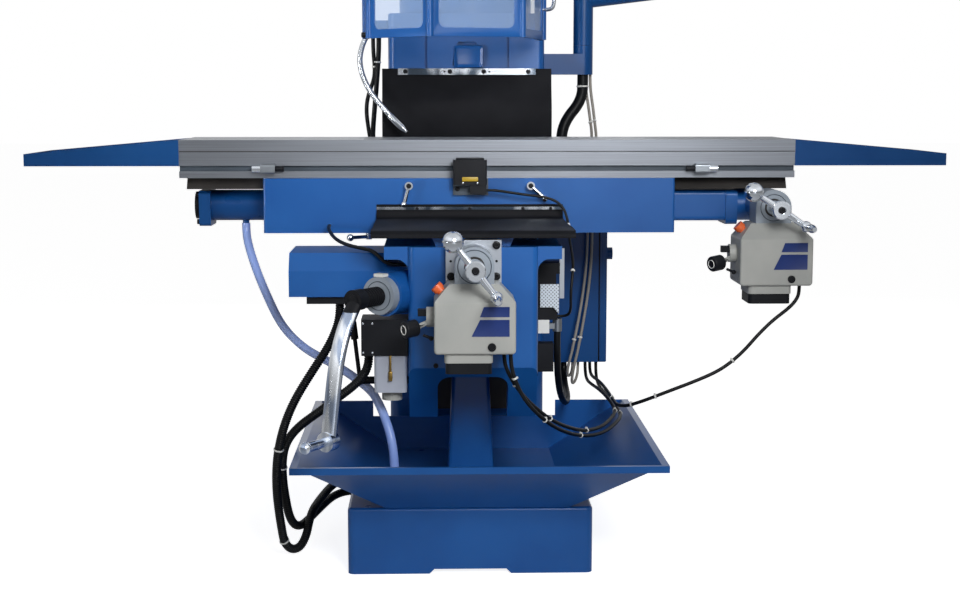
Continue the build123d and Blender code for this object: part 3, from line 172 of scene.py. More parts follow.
def bluePaint(name, low, high, shine):
    # Two-pack enamel sprayed on iron or sheet: glossy, faint orange peel of about 3 mm, slightly uneven in depth
    made, tree, place = startMaterial(name)
    cloud = addNode(tree, "ShaderNodeTexNoise", {"Vector": place, "Scale": 7.0, "Detail": 3.0}).outputs["Fac"]
    peel = addNode(tree, "ShaderNodeTexNoise", {"Vector": place, "Scale": 330.0, "Detail": 1.0}).outputs["Fac"]
    rough = addNode(tree, "ShaderNodeMapRange", {"Value": cloud, "To Min": 0.24, "To Max": 0.36})
    bump = addNode(tree, "ShaderNodeBump", {"Height": peel, "Strength": 0.05, "Distance": 0.0006})
    tone = addNode(tree, "ShaderNodeValToRGB", {"Fac": cloud}, [(0.3, hexColour(low)), (0.7, hexColour(high))])
    return finishMaterial(made, {"Base Color": tone.outputs[0], "Roughness": rough.outputs[0],
                                 "Normal": bump.outputs[0], "Specular IOR Level": shine})


def groundSteel():
    # Surface-ground cast iron: fine marks along the table, about 1 mm apart, drawn coarser than real so that they show
    made, tree, place = startMaterial("groundIron")
    stretch = addNode(tree, "ShaderNodeMapping", {"Vector": place, "Scale": (4.0, 900.0, 900.0)}).outputs[0]
    marks = addNode(tree, "ShaderNodeTexNoise", {"Vector": stretch, "Scale": 1.0, "Detail": 2.0}).outputs["Fac"]
    wide = addNode(tree, "ShaderNodeTexNoise", {"Vector": place, "Scale": 2.2, "Detail": 2.0}).outputs["Fac"]
    mixed = addNode(tree, "ShaderNodeMath", {0: marks, 1: wide}, operation="ADD").outputs[0]
    half = addNode(tree, "ShaderNodeMath", {0: mixed, 1: 0.5}, operation="MULTIPLY").outputs[0]
    rough = addNode(tree, "ShaderNodeMapRange", {"Value": marks, "To Min": 0.3, "To Max": 0.46})
    bump = addNode(tree, "ShaderNodeBump", {"Height": marks, "Strength": 0.08, "Distance": 0.0004})
    tone = addNode(tree, "ShaderNodeValToRGB", {"Fac": half},
                   [(0.35, hexColour("#72767d")), (0.65, hexColour("#858a92"))])
    return finishMaterial(made, {"Base Color": tone.outputs[0], "Metallic": 0.85, "Roughness": rough.outputs[0],
                                 "Normal": bump.outputs[0]})


def brightMetal(name, code, roughLow, roughHigh, grain, strength):
    # Plated or turned metal: grain is the spacing of its marks in metres
    made, tree, place = startMaterial(name)
    marks = addNode(tree, "ShaderNodeTexNoise", {"Vector": place, "Scale": 1 / grain, "Detail": 2.0}).outputs["Fac"]
    rough = addNode(tree, "ShaderNodeMapRange", {"Value": marks, "To Min": roughLow, "To Max": roughHigh})
    bump = addNode(tree, "ShaderNodeBump", {"Height": marks, "Strength": strength, "Distance": 0.0004})
    return finishMaterial(made, {"Base Color": hexColour(code), "Metallic": 1.0, "Roughness": rough.outputs[0],
                                 "Normal": bump.outputs[0]})


def chromeWithPaintedReflection(name, reflectionScale, low, high):
    # Polished plating with painted reflection: broad light and dark patches drawn into its colour stand for what it
    # mirrors, and its roughness varies with them
    made, tree, place = startMaterial(name)
    stretch = addNode(tree, "ShaderNodeMapping", {"Vector": place, "Scale": reflectionScale}).outputs[0]
    paintedReflection = addNode(tree, "ShaderNodeTexNoise", {"Vector": stretch, "Scale": 1.0, "Detail": 1.0}).outputs["Fac"]
    rough = addNode(tree, "ShaderNodeMapRange", {"Value": paintedReflection, "To Min": 0.12, "To Max": 0.26})
    tone = addNode(tree, "ShaderNodeValToRGB", {"Fac": paintedReflection}, [(0.44, hexColour(low)), (0.56, hexColour(high))])
    return finishMaterial(made, {"Base Color": tone.outputs[0], "Metallic": 1.0, "Roughness": rough.outputs[0]})


def mouldedStuff(name, low, high, rough, grain, strength, shine=0.5):
    # Moulded or sprayed stuff: low and high are its darkest and palest tone, grain its texture's spacing in metres
    made, tree, place = startMaterial(name)
    cloud = addNode(tree, "ShaderNodeTexNoise", {"Vector": place, "Scale": 12.0, "Detail": 3.0}).outputs["Fac"]
    texture = addNode(tree, "ShaderNodeTexNoise", {"Vector": place, "Scale": 1 / grain, "Detail": 2.0}).outputs["Fac"]
    spread = addNode(tree, "ShaderNodeMapRange", {"Value": texture, "To Min": rough - 0.06, "To Max": rough + 0.08})
    bump = addNode(tree, "ShaderNodeBump", {"Height": texture, "Strength": strength, "Distance": 0.0005})
    tone = addNode(tree, "ShaderNodeValToRGB", {"Fac": cloud}, [(0.3, hexColour(low)), (0.7, hexColour(high))])
    return finishMaterial(made, {"Base Color": tone.outputs[0], "Roughness": spread.outputs[0],
                                 "Normal": bump.outputs[0], "Specular IOR Level": shine})


def clearStuff(name, code, alpha, rough):
    # Clear plastic: see-through by its alpha, with the gloss of its surface
    made, tree, place = startMaterial(name)
    cloud = addNode(tree, "ShaderNodeTexNoise", {"Vector": place, "Scale": 40.0, "Detail": 1.0}).outputs["Fac"]
    spread = addNode(tree, "ShaderNodeMapRange", {"Value": cloud, "To Min": rough, "To Max": rough + 0.06})
    return finishMaterial(made, {"Base Color": hexColour(code), "Roughness": spread.outputs[0], "Alpha": alpha,
                                 "IOR": 1.45})


def perforatedSheet():
    # Punched aluminium: 2.4 mm holes on a 4.5 mm grid, turned by 45 degrees, drawn on a 5.5 mm grid so that they show
    made, tree, place = startMaterial("perforatedAluminium")
    grid = addNode(tree, "ShaderNodeMapping", {"Vector": place, "Rotation": (0.0, math.pi / 4, 0.0),
                                               "Scale": (182.0, 0.0, 182.0)}).outputs[0]
    cell = addNode(tree, "ShaderNodeVectorMath", {0: grid}, operation="FRACTION").outputs[0]
    middle = addNode(tree, "ShaderNodeVectorMath", {0: cell, 1: (0.5, 0.0, 0.5)}, operation="DISTANCE")
    hole = addNode(tree, "ShaderNodeMath", {0: middle.outputs["Value"], 1: 0.28}, operation="LESS_THAN").outputs[0]
    metal = addNode(tree, "ShaderNodeMapRange", {"Value": hole, "To Min": 0.9, "To Max": 0.0})
    tone = addNode(tree, "ShaderNodeValToRGB", {"Fac": hole},
                   [(0.0, hexColour("#cfd8e2")), (1.0, hexColour("#7c838b"))])
    return finishMaterial(made, {"Base Color": tone.outputs[0], "Metallic": metal.outputs[0], "Roughness": 0.36})


paints = {
    "blue": bluePaint("blueEnamel", "#15539a", "#1c5da6", 0.38),
    "paintedShadeBlue": bluePaint("blueEnamelPaintedShade", "#0f437e", "#164c88", 0.22),  # painted shade: the same enamel, darker and less glossy, for parts the light falls off on
    "steel": groundSteel(),
    "chrome": brightMetal("chromePlate", "#d0d6de", 0.1, 0.18, 0.02, 0.02),
    # painted reflection: the strip and the lift crank's arm carry light and dark patches of mirrored light in their
    # colour
    "strip": chromeWithPaintedReflection("polishedStrip", (24.0, 3.0, 12.0), "#4c5866", "#b4bac2"),
    "plated": chromeWithPaintedReflection("platedArm", (60.0, 24.0, 9.0), "#a4b2ca", "#eef3fa"),
    "turned": brightMetal("turnedAluminium", "#8b9198", 0.3, 0.42, 0.0012, 0.08),
    "satin": mouldedStuff("beadBlastedAluminium", "#868f9a", "#939da8", 0.42, 0.0015, 0.06, 0.6),
    "milled": brightMetal("milledSteelPlate", "#a9afb8", 0.28, 0.4, 0.002, 0.06),
    "brass": brightMetal("brassFitting", "#8d7440", 0.22, 0.34, 0.002, 0.05),
    # dark iron: the hub seals, and painted shade at the column's ways and along the table's step
    "darkIronAndShade": mouldedStuff("darkIronAndPaintedShade", "#2c2a29", "#3d3a38", 0.45, 0.0015, 0.2, 0.2),
    "black": mouldedStuff("blackNylon", "#131418", "#1c1e23", 0.42, 0.0012, 0.15, 0.14),
    "rubber": mouldedStuff("blackRubber", "#121317", "#191a1e", 0.55, 0.003, 0.12, 0.06),
    "cable": mouldedStuff("blackPvc", "#0f1012", "#17191c", 0.38, 0.004, 0.06, 0.16),
    "greyCable": mouldedStuff("greyPvc", "#8b8680", "#9c978f", 0.45, 0.004, 0.06),
    "beige": mouldedStuff("beigeStoveEnamel", "#a4a6a3", "#b0b1ad", 0.42, 0.0014, 0.22, 0.3),
    "white": mouldedStuff("whitePolythene", "#d9dad6", "#e7e7e3", 0.4, 0.004, 0.04),
    "orange": mouldedStuff("orangeAbs", "#e0602c", "#ee7038", 0.35, 0.002, 0.04),
    "yellow": mouldedStuff("yellowAbs", "#a98a14", "#b99a1e", 0.4, 0.002, 0.04),
    "tank": mouldedStuff("paleOilTank", "#a2a8b8", "#b4bac8", 0.32, 0.004, 0.04),
    "navy": mouldedStuff("bareNavyPlate", "#1d2f66", "#263b7a", 0.3, 0.003, 0.03, 0.3),
    # slate grey: hub grooves and part of the limit switch, and painted shade inside the table's slot
    "slate": mouldedStuff("slateGreyAndPaintedShade", "#3d4650", "#4b5560", 0.4, 0.002, 0.08, 0.25),
    "perforated": perforatedSheet(),
    "hose": clearStuff("clearPvcHose", "#9cbaff", 0.8, 0.18),
    "glass": clearStuff("clearPolycarbonate", "#a8c6f0", 0.34, 0.05),
}
print(len(paints), "materials are made")

nodePaints = {
    "blue": ["base", "chip_tray", "column", "pedestal", "knee", "z_drive_cover", "saddle", "x_gearbox",
             "ram", "head", "turret", "guard_frame"],
    # painted shade: these parts take the darker copy of the blue enamel
    "paintedShadeBlue": ["cabinet", "cabinet_door", "column_brackets", "pendant_arm", "x_bearing_left", "table_wings"],
    "steel": ["table", "elevating_screw", "x_screw", "quill", "spindle"],
    "strip": ["rear_apron_strip", "front_apron_strip"],
    "plated": ["z_crank"],
    "chrome": ["y_crank", "x_crank", "table_lock_left", "table_lock_right",
               "saddle_lock_lever", "quill_lever"],
    "satin": ["z_dial", "y_feed_mount"],
    "turned": ["stop_dogs"],
    "black": ["lubricator", "knee_switches", "knee_lock_lever", "limit_switch", "y_feed_toggle", "x_feed_toggle"],
    "beige": ["y_feed_unit", "x_feed_unit", "y_feed_lever", "x_feed_lever"],
    "orange": ["y_feed_button", "x_feed_button"],
    "glass": ["guard_windows"],
}
for paint, names in nodePaints.items():
    for name in names:
        shape = nodeObjects[name].data
        shape.materials.clear()
        shape.materials.append(paints[paint])

# Other finishes on parts of a node: between which limits, in metres, the middles of the faces lie
far = 9  # past the machine on every side
partPaints = [
    ("z_drive_cover", "black", {"z": (0.5, 0.5849)}),
    ("lubricator", "tank", {"z": (0.3965, 0.4729)}),
    ("lubricator", "beige", {"z": (0.3, 0.3959)}),
    ("y_feed_unit", "black", {"z": (0.3, 0.4815)}),
    ("x_feed_unit", "black", {"z": (0.3, 0.5705)}),
    ("y_feed_mount", "milled", {"y": (-0.5601, -0.5349)}),
    ("x_gearbox", "satin", {"x": (0.62, far), "y": (-far, -0.1901)}),
    ("x_bearing_left", "black", {"x": (-far, -0.6099)}),
    # the table's faces below 819 mm are drawn dark
    ("table", "darkIronAndShade", {"z": (0, 0.8193)}),
    ("column", "darkIronAndShade", {"x": (-0.1135, 0.1135), "y": (-far, 0.1255), "z": (0.2, 1.03)}),  # the ways below the head: bare iron, drawn darker as painted shade for the hollow behind the knee
    ("y_feed_lever", "black", {"x": (-far, -0.1135)}),  # speed knob
    ("y_feed_lever", "black", {"y": (-far, -0.6402)}),  # the knob's near rim
    ("y_feed_lever", "black", {"x": (-far, -0.0952), "z": (0.5685, 1)}),  # plug
    ("x_feed_lever", "black", {"x": (-far, 0.5525)}),
    ("x_feed_lever", "black", {"y": (-far, -0.2702)}),
    ("x_feed_lever", "black", {"x": (-far, 0.5708), "z": (0.6575, 1)}),
    ("knee_switches", "white", {"x": (0.1445, 0.1685), "z": (0.4925, 0.5225)}),
    ("knee_switches", "perforated", {"x": (0.145, 0.19), "y": (-0.3535, -0.3506), "z": (0.53, 0.61)}),
    ("knee_switches", "milled", {"x": (0.1895, 0.2005), "z": (0.5675, 0.677)}),
    ("knee_switches", "turned", {"x": (0.1695, far), "z": (0.4935, 0.5225)}),
    ("z_dial", "white", {"z": (0.6387, 1)}),
    ("z_crank", "black", {"z": (0.578, 0.63)}),
    ("stop_dogs", "black", {"x": (-0.4295, -0.38)}),
    ("stop_dogs", "black", {"x": (0.45, 0.5005)}),
    ("stop_dogs", "chrome", {"x": (-0.52, -0.4625)}),
    ("stop_dogs", "chrome", {"x": (0.5335, 0.6)}),
    # painted shade: the inside of the table's front slot is drawn slate grey
    ("table", "slate", {"y": (-0.1829, -0.165), "z": (0.834, 0.8468)}),
    ("limit_switch", "slate", {"y": (-0.2035, far), "z": (0.78, 0.9)}),
]
for name, paint, limits in partPaints:
    shape = nodeObjects[name].data
    shape.materials.append(paints[paint])
    index = len(shape.materials) - 1
    toWorld = nodeObjects[name].matrix_world
    for face in shape.polygons:
        at = toWorld @ face.center
        if all(low <= at["xyz".index(axis)] <= high for axis, (low, high) in limits.items()):
            face.material_index = index
print("CAD nodes are painted")


def deselect():
    if bpy.context.object and bpy.context.object.mode != "OBJECT":
        bpy.ops.object.mode_set(mode="OBJECT")
    bpy.ops.object.select_all(action="DESELECT")


def choose(pieces):
    # Only these are selected, and the first is active
    deselect()
    for made in pieces:
        made.select_set(True)
    bpy.context.view_layer.objects.active = pieces[0]


def joinPieces(pieces):
    choose(pieces)
    if len(pieces) > 1:
        bpy.ops.object.join()
    return bpy.context.view_layer.objects.active


def editAll():
    # The active piece in edit mode, selected all over
    bpy.ops.object.mode_set(mode="EDIT")
    bpy.ops.mesh.select_all(action="SELECT")


def leaveEdit():
    bpy.ops.object.mode_set(mode="OBJECT")


def pick(made, test):
    # Selects faces by their place or normal and stays in edit mode
    choose([made])
    bpy.ops.object.mode_set(mode="EDIT")
    bpy.ops.mesh.select_mode(type="FACE")
    bpy.ops.mesh.select_all(action="DESELECT")
    leaveEdit()
    for face in made.data.polygons:
        face.select = test(face.center, face.normal)
    bpy.ops.object.mode_set(mode="EDIT")


def dress(made, paint, angle=40):
    choose([made])
    bpy.ops.object.shade_smooth_by_angle(angle=math.radians(angle))
    made.data.materials.clear()
    made.data.materials.append(paints[paint])


def mm(spot):
    return Vector(spot) / 1000


def turnTo(facing):
    # Turns a piece that stands up the Z axis to face another way
    return Vector(facing).to_track_quat("Z", "Y").to_matrix().to_4x4()


def layRoute(name, points):
    # A smooth line through given points, in millimetres
    line = bpy.data.curves.new(name, "CURVE")
    line.dimensions = "3D"
    spline = line.splines.new("NURBS")
    spline.points.add(len(points) - 1)
    for spot, (x, y, z) in zip(spline.points, points):
        spot.co = (x / 1000, y / 1000, z / 1000, 1)
    spline.order_u = 3
    spline.use_endpoint_u = True
    spline.resolution_u = 8
    made = bpy.data.objects.new(name, line)
    bpy.context.collection.objects.link(made)
    return made


def readRoute(route):
    bpy.context.view_layer.update()
    graph = bpy.context.evaluated_depsgraph_get()
    shape = bpy.data.meshes.new_from_object(route.evaluated_get(graph))
    spots = [tuple(v.co) for v in shape.vertices]
    bpy.data.meshes.remove(shape)
    return spots


def lengthOf(spots):
    return sum((Vector(b) - Vector(a)).length for a, b in zip(spots, spots[1:]))


def smoothTube(route, diameter):
    route.data.bevel_depth = diameter / 2000
    route.data.bevel_resolution = 4
    route.data.use_fill_caps = True
    choose([route])
    bpy.ops.object.convert(target="MESH")
    bpy.ops.object.shade_smooth()
    return bpy.context.object


def ribbedTube(route, diameter, pitch, depth):
    # One rib, repeated along the route by an array and bent by a curve modifier
    radius, pitch, depth = diameter / 2000, pitch / 1000, depth / 1000
    deselect()
    bpy.ops.mesh.primitive_cylinder_add(vertices=20, radius=radius - depth, depth=pitch, end_fill_type="NOTHING",
                                        location=(0, 0, pitch / 2))
    rib = bpy.context.object
    bpy.ops.object.transform_apply(location=True)
    for share in (0.3, 0.7):  # between these shares of the pitch the rib stands out
        editAll()
        bpy.ops.mesh.bisect(plane_co=(0, 0, pitch * share), plane_no=(0, 0, 1))
    leaveEdit()
    for spot in rib.data.vertices:
        if pitch * 0.2 < spot.co.z < pitch * 0.8:
            spot.co.x *= radius / (radius - depth)
            spot.co.y *= radius / (radius - depth)
    repeat = rib.modifiers.new("repeat", "ARRAY")
    repeat.use_relative_offset = False
    repeat.use_constant_offset = True
    repeat.constant_offset_displace = (0, 0, pitch)
    repeat.count = int(lengthOf(readRoute(route)) / pitch)
    repeat.use_merge_vertices = True
    repeat.merge_threshold = 0.0002
    bend = rib.modifiers.new("bend", "CURVE")
    bend.object = route
    bend.deform_axis = "POS_Z"
    bpy.ops.object.modifier_apply(modifier="repeat")
    bpy.ops.object.modifier_apply(modifier="bend")
    editAll()
    bpy.ops.mesh.normals_make_consistent(inside=False)
    bpy.ops.mesh.select_mode(type="EDGE")
    bpy.ops.mesh.select_all(action="DESELECT")
    bpy.ops.mesh.select_non_manifold()
    bpy.ops.mesh.edge_face_add()
    leaveEdit()
    bpy.ops.object.shade_smooth_by_angle(angle=math.radians(50))
    name = route.name
    bpy.data.objects.remove(route)
    rib.name = name
    return rib


def bevelBlock(centre, size, round):
    # A block with rounded edges, in millimetres
    deselect()
    bpy.ops.mesh.primitive_cube_add(size=1, location=mm(centre), scale=mm(size))
    made = bpy.context.object
    bpy.ops.object.transform_apply(location=True, scale=True)
    editAll()
    bpy.ops.mesh.bevel(offset=round / 1000, segments=2, affect="EDGES")
    leaveEdit()
    return made


screwForm = {"rim": 0.1, "crown": 0.08, "sunk": 0.6}  # rim is a share of the head's radius, the others of its height


def capScrew(radius, height, socket):
    # Socket screw standing on the origin: the head's rim is broken and the socket sunk past half way
    deselect()
    bpy.ops.mesh.primitive_cylinder_add(vertices=24, radius=radius / 1000, depth=height / 1000,
                                        location=(0, 0, height / 2000))
    made = bpy.context.object
    bpy.ops.object.transform_apply(location=True)
    pick(made, lambda centre, normal: normal.z > 0.9)
    bpy.ops.mesh.inset(thickness=radius * screwForm["rim"] / 1000)
    bpy.ops.transform.translate(value=(0, 0, height * screwForm["crown"] / 1000))
    bpy.ops.mesh.inset(thickness=(radius * (1 - screwForm["rim"]) - socket) / 1000)
    bpy.ops.mesh.extrude_region_move(TRANSFORM_OT_translate={"value": (0, 0, -height * screwForm["sunk"] / 1000)})
    leaveEdit()
    return made


def flatRing(radius, wire, rings, sides, stretch):
    # A ring round the Z axis, in millimetres, whose wire is stretched along the axis
    deselect()
    bpy.ops.mesh.primitive_torus_add(major_radius=radius / 1000, minor_radius=wire / 1000, major_segments=rings,
                                     minor_segments=sides)
    editAll()
    bpy.ops.transform.resize(value=(1, 1, stretch))
    leaveEdit()
    return bpy.context.object


def placeCopies(model, spots, facing):
    # Copies with their own mesh, joined into one piece at the origin
    copies = []
    for spot in spots:
        copy = model.copy()
        copy.data = model.data.copy()
        bpy.context.collection.objects.link(copy)
        copy.data.transform(Matrix.Translation(mm(spot)) @ turnTo(facing))
        copies.append(copy)
    bpy.data.objects.remove(model)
    return joinPieces(copies)


def setPiece(made, piece):
    # Its name, finish and body, as its dictionary says
    made.name = piece["name"]
    dress(made, piece.get("paint", "black"))
    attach(made, piece["body"])


toFront = (0, -1, 0)
crankFacing = (-0.54464, -0.83867, 0)  # along the lift crank's slanted shaft
knobFacing = (-0.8433, -0.527, -0.1054)  # along the speed knobs

# Screws, plugs and nuts: where they sit, in millimetres; black and facing the front unless said
screwSets = [
    {"name": "feedPlateScrews", "body": "knee", "radius": 8, "height": 7, "socket": 3.6,
     "spots": [(-45.6, -560, 641), (45.6, -560, 641), (45.6, -560, 704), (-45.6, -560, 704)]},
    {"name": "feedPlatePins", "body": "knee", "radius": 2.6, "height": 1, "socket": 1,
     "spots": [(-46, -560, 671.5), (46, -560, 671.5)]},
    {"name": "crossFeedPlug", "body": "knee", "radius": 8.3, "height": 2.4, "socket": 5.5,
     "spots": [(33, -678, 515)]},
    {"name": "longFeedPlug", "body": "saddle", "radius": 8.3, "height": 2.4, "socket": 5.5,
     "spots": [(699, -308, 604)]},
    {"name": "crossCrankNut", "body": "y_crank", "radius": 7.6, "height": 4, "socket": 4,
     "spots": [(0, -716.5, 668)]},
    {"name": "longCrankNut", "body": "x_crank", "radius": 7.6, "height": 4, "socket": 4,
     "spots": [(666, -346.5, 757)]},
    {"name": "liftCrankNut", "body": "z_crank", "radius": 12, "height": 1.6, "socket": 8.5, "facing": crankFacing,
     "spots": [(-240.3, -620.1, 600)]},
    {"name": "rearStripScrews", "body": "machine_base", "radius": 5.4, "height": 2.6, "socket": 2.6,
     "spots": [(-147, 117, 1058), (-40.6, 117, 1058), (40.6, 117, 1058), (147, 117, 1058)]},
    {"name": "rearStripPins", "body": "machine_base", "radius": 2.2, "height": 0.8, "socket": 1,
     "spots": [(-53.6, 117, 1058), (53.6, 117, 1058)]},
    {"name": "frontStripScrews", "body": "saddle", "radius": 3.6, "height": 2.4, "socket": 1.8,
     "spots": [(-117, -199, 752), (0, -199, 752), (118, -199, 752), (180, -199, 752)]},
    {"name": "limitPlateScrews", "body": "saddle", "radius": 5.2, "height": 4, "socket": 2.4,
     "spots": [(-27.5, -203, 796), (30.5, -203, 796)]},
    {"name": "limitCoverScrews", "body": "saddle", "paint": "chrome", "radius": 1.8, "height": 1, "socket": 0.8,
     "spots": [(-16, -236, 810), (16, -236, 810)]},
    {"name": "leftLockSocket", "body": "table_lock_left", "radius": 5.6, "height": 1.4, "socket": 3,
     "spots": [(-135, -215, 803)]},
    {"name": "rightLockSocket", "body": "table_lock_right", "radius": 5.6, "height": 1.4, "socket": 3,
     "spots": [(135, -215, 803)]},
    {"name": "pumpScrews", "body": "knee", "paint": "chrome", "radius": 2.2, "height": 1, "socket": 1,
     "spots": [(-225, -520, 480), (-206, -520, 480), (-225, -520, 540), (-206, -520, 540)]},
    {"name": "kneePlug", "body": "knee", "radius": 5, "height": 3, "socket": 2.4, "spots": [(-76.6, -535, 455)]},
    {"name": "bearingCapScrews", "body": "saddle", "radius": 6, "height": 5, "socket": 2.8, "facing": (-1, 0, 0),
     "spots": [(-610, -120, 718), (-610, -40, 718), (-610, -120, 780), (-610, -40, 780)]},
    {"name": "guardKnob", "body": "guard", "radius": 6, "height": 12, "socket": 2, "facing": (-0.97, -0.24, 0),
     "spots": [(-228, -108, 1136)]},
]
for piece in screwSets:
    screw = capScrew(piece["radius"], piece["height"], piece["socket"])
    setPiece(placeCopies(screw, piece["spots"], piece.get("facing", toFront)), piece)
print("screws and plugs are set")

# Bare plates on the feed units, in millimetres: the left end slants from left to lean
platePieces = [
    {"name": "crossFeedPlateSmall", "body": "knee", "face": -678, "left": 9.6, "lean": 17.1, "right": 67.2,
     "foot": 574.2, "top": 594.1},
    {"name": "crossFeedPlateLarge", "body": "knee", "face": -678, "left": -6.6, "lean": 9.6, "right": 67.2,
     "foot": 535.8, "top": 568.9},
    {"name": "longFeedPlateSmall", "body": "saddle", "face": -308, "left": 675.6, "lean": 683.1, "right": 733.2,
     "foot": 663.2, "top": 683.1},
    {"name": "longFeedPlateLarge", "body": "saddle", "face": -308, "left": 659.4, "lean": 675.6, "right": 733.2,
     "foot": 624.8, "top": 657.9},
]
plateForm = {"thick": 1.6, "sunk": 0.4, "rim": 1.2, "panel": 0.4}
for piece in platePieces:
    left, right, foot, top = (piece[key] for key in ("left", "right", "foot", "top"))
    middle = ((left + right) / 2, piece["face"] - plateForm["sunk"], (foot + top) / 2)
    deselect()
    bpy.ops.mesh.primitive_cube_add(size=1, location=mm(middle),
                                    scale=mm((right - left, plateForm["thick"], top - foot)))
    plate = bpy.context.object
    bpy.ops.object.transform_apply(location=True, scale=True)
    bpy.ops.object.mode_set(mode="EDIT")
    bpy.ops.mesh.select_mode(type="VERT")
    bpy.ops.mesh.select_all(action="DESELECT")
    leaveEdit()
    for spot in plate.data.vertices:
        spot.select = spot.co.x < middle[0] / 1000 and spot.co.z > middle[2] / 1000
    bpy.ops.object.mode_set(mode="EDIT")
    bpy.ops.transform.translate(value=((piece["lean"] - left) / 1000, 0, 0))
    leaveEdit()
    pick(plate, lambda centre, normal: normal.y < -0.9)
    bpy.ops.mesh.inset(thickness=plateForm["rim"] / 1000)
    bpy.ops.transform.translate(value=(0, plateForm["panel"] / 1000, 0))
    leaveEdit()
    plate.name = piece["name"]
    dress(plate, "navy", 20)
    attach(plate, piece["body"])

# Small blocks: the limit switch's actuator and hood, a painted shadow line along the table's step, apron folds, door
# seal, oil fitting
blockPieces = [
    {"name": "limitActuator", "body": "saddle", "paint": "yellow", "at": (0, -237, 819), "size": (35, 4, 9.5),
     "round": 1},
    {"name": "limitHood", "body": "saddle", "paint": "black", "at": (0, -222, 863), "size": (62, 26, 5),
     "round": 1.5},
    # painted shadow: a dark strip along the step in the table's front
    {"name": "tableStepShadow", "body": "table", "paint": "darkIronAndShade", "at": (42, -183.9, 878.2), "size": (1370, 1.8, 1.8),
     "round": 0.3},
    {"name": "apronFoldLow", "body": "saddle", "paint": "rubber", "at": (0, -199.6, 747.2), "size": (414, 3.2, 5),
     "round": 1},
    {"name": "apronFoldHigh", "body": "saddle", "paint": "rubber", "at": (0, -199.2, 758.8), "size": (414, 2.6, 5.6),
     "round": 0.8},
    {"name": "doorSeal", "body": "machine_base", "paint": "rubber", "at": (330, 189.9, 610), "size": (3.4, 1.2, 536),
     "round": 0.4},
    {"name": "brassElbow", "body": "knee", "paint": "brass", "at": (-169.5, -520, 431), "size": (8.5, 8.5, 20),
     "round": 1.6},
    {"name": "brassStem", "body": "knee", "paint": "brass", "at": (-169.5, -520, 457), "size": (5, 5, 33),
     "round": 1.4},
]
for piece in blockPieces:
    setPiece(bevelBlock(piece["at"], piece["size"], piece["round"]), piece)

# Turned grooves on the feed hubs and the dial, pale rings on the speed knobs, ribs of the lift crank's rubber sleeve
ringPieces = [
    {"name": "crossHubGroove", "body": "knee", "paint": "slate", "radius": 33, "wire": 0.9,
     "spots": [(0, -636, 668)]},
    {"name": "crossHubSeal", "body": "knee", "paint": "darkIronAndShade", "radius": 18, "wire": 2.2,
     "spots": [(0, -636, 668)]},
    {"name": "longHubGroove", "body": "saddle", "paint": "slate", "radius": 29, "wire": 0.9,
     "spots": [(666, -266, 757)]},
    {"name": "longHubSeal", "body": "saddle", "paint": "darkIronAndShade", "radius": 18, "wire": 2.2,
     "spots": [(666, -266, 757)]},
    {"name": "dialGroove", "body": "knee", "paint": "slate", "radius": 29, "wire": 0.9,
     "spots": [(-192.3, -546.1, 600)], "facing": crankFacing},
    {"name": "crossKnobRing", "body": "y_feed_lever", "paint": "white", "radius": 9, "wire": 1,
     "spots": [(-139.3, -655.8, 545.8)], "facing": knobFacing},
    {"name": "longKnobRing", "body": "x_feed_lever", "paint": "white", "radius": 9, "wire": 1,
     "spots": [(526.7, -285.8, 634.8)], "facing": knobFacing},
    {"name": "sleeveRibs", "body": "z_crank", "paint": "rubber", "radius": 17, "wire": 2.6,
     "spots": [(-194.7 - 4.3 * i, -549.6 - 6.62 * i, 600) for i in range(7)], "facing": crankFacing},
]
ringForm = {"rings": 48, "sides": 10, "stretch": 1.25}
for piece in ringPieces:
    ring = flatRing(piece["radius"], piece["wire"], **ringForm)
    setPiece(placeCopies(ring, piece["spots"], piece.get("facing", toFront)), piece)
print("plates, blocks and rings are set")

# Guard panels: folded sheet with a rounded window in each, corners in millimetres
guardPanels = {"corners": [(-232.1, -87.9), (-223.0, -125.5), (-87.0, -267.0), (114.8, -218.6),
                           (171.7, -30.7), (162.7, 6.8)],
               "foot": 1128, "height": 240, "rail": 19, "corner": 15, "sheet": 5, "edge": 1, "paint": "blue"}
for number, (start, end) in enumerate(zip(guardPanels["corners"], guardPanels["corners"][1:])):
    run = Vector((*end, 0)) - Vector((*start, 0))
    rail = min(guardPanels["rail"], run.length * 0.25)
    corner = min(guardPanels["corner"], run.length * 0.2)
    deselect()
    bpy.ops.mesh.primitive_plane_add(size=1)
    panel = bpy.context.object
    panel.data.transform(Matrix.Diagonal((run.length / 1000, guardPanels["height"] / 1000, 1, 1)))
    editAll()
    bpy.ops.mesh.inset(thickness=rail / 1000)
    bpy.ops.mesh.bevel(offset=corner / 1000, segments=6, affect="VERTICES")
    leaveEdit()
    pick(panel, lambda centre, normal: abs(centre.x) < 0.004 and abs(centre.y) < 0.004)
    bpy.ops.mesh.delete(type="FACE")
    leaveEdit()
    wall = panel.modifiers.new("wall", "SOLIDIFY")
    wall.thickness = guardPanels["sheet"] / 1000
    wall.offset = 0
    edge = panel.modifiers.new("edge", "BEVEL")
    edge.width = guardPanels["edge"] / 1000
    edge.segments = 2
    bpy.ops.object.modifier_apply(modifier="wall")
    bpy.ops.object.modifier_apply(modifier="edge")
    across = run.normalized()
    up = Vector((0, 0, 1))
    middle = (Vector((*start, 0)) + Vector((*end, 0))) / 2000
    middle.z = (guardPanels["foot"] + guardPanels["height"] / 2) / 1000
    place = Matrix((across, up, across.cross(up))).transposed().to_4x4()
    panel.data.transform(Matrix.Translation(middle) @ place)
    panel.name = "guardPanel" + str(number + 1)
    dress(panel, guardPanels["paint"], 30)
    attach(panel, "guard")

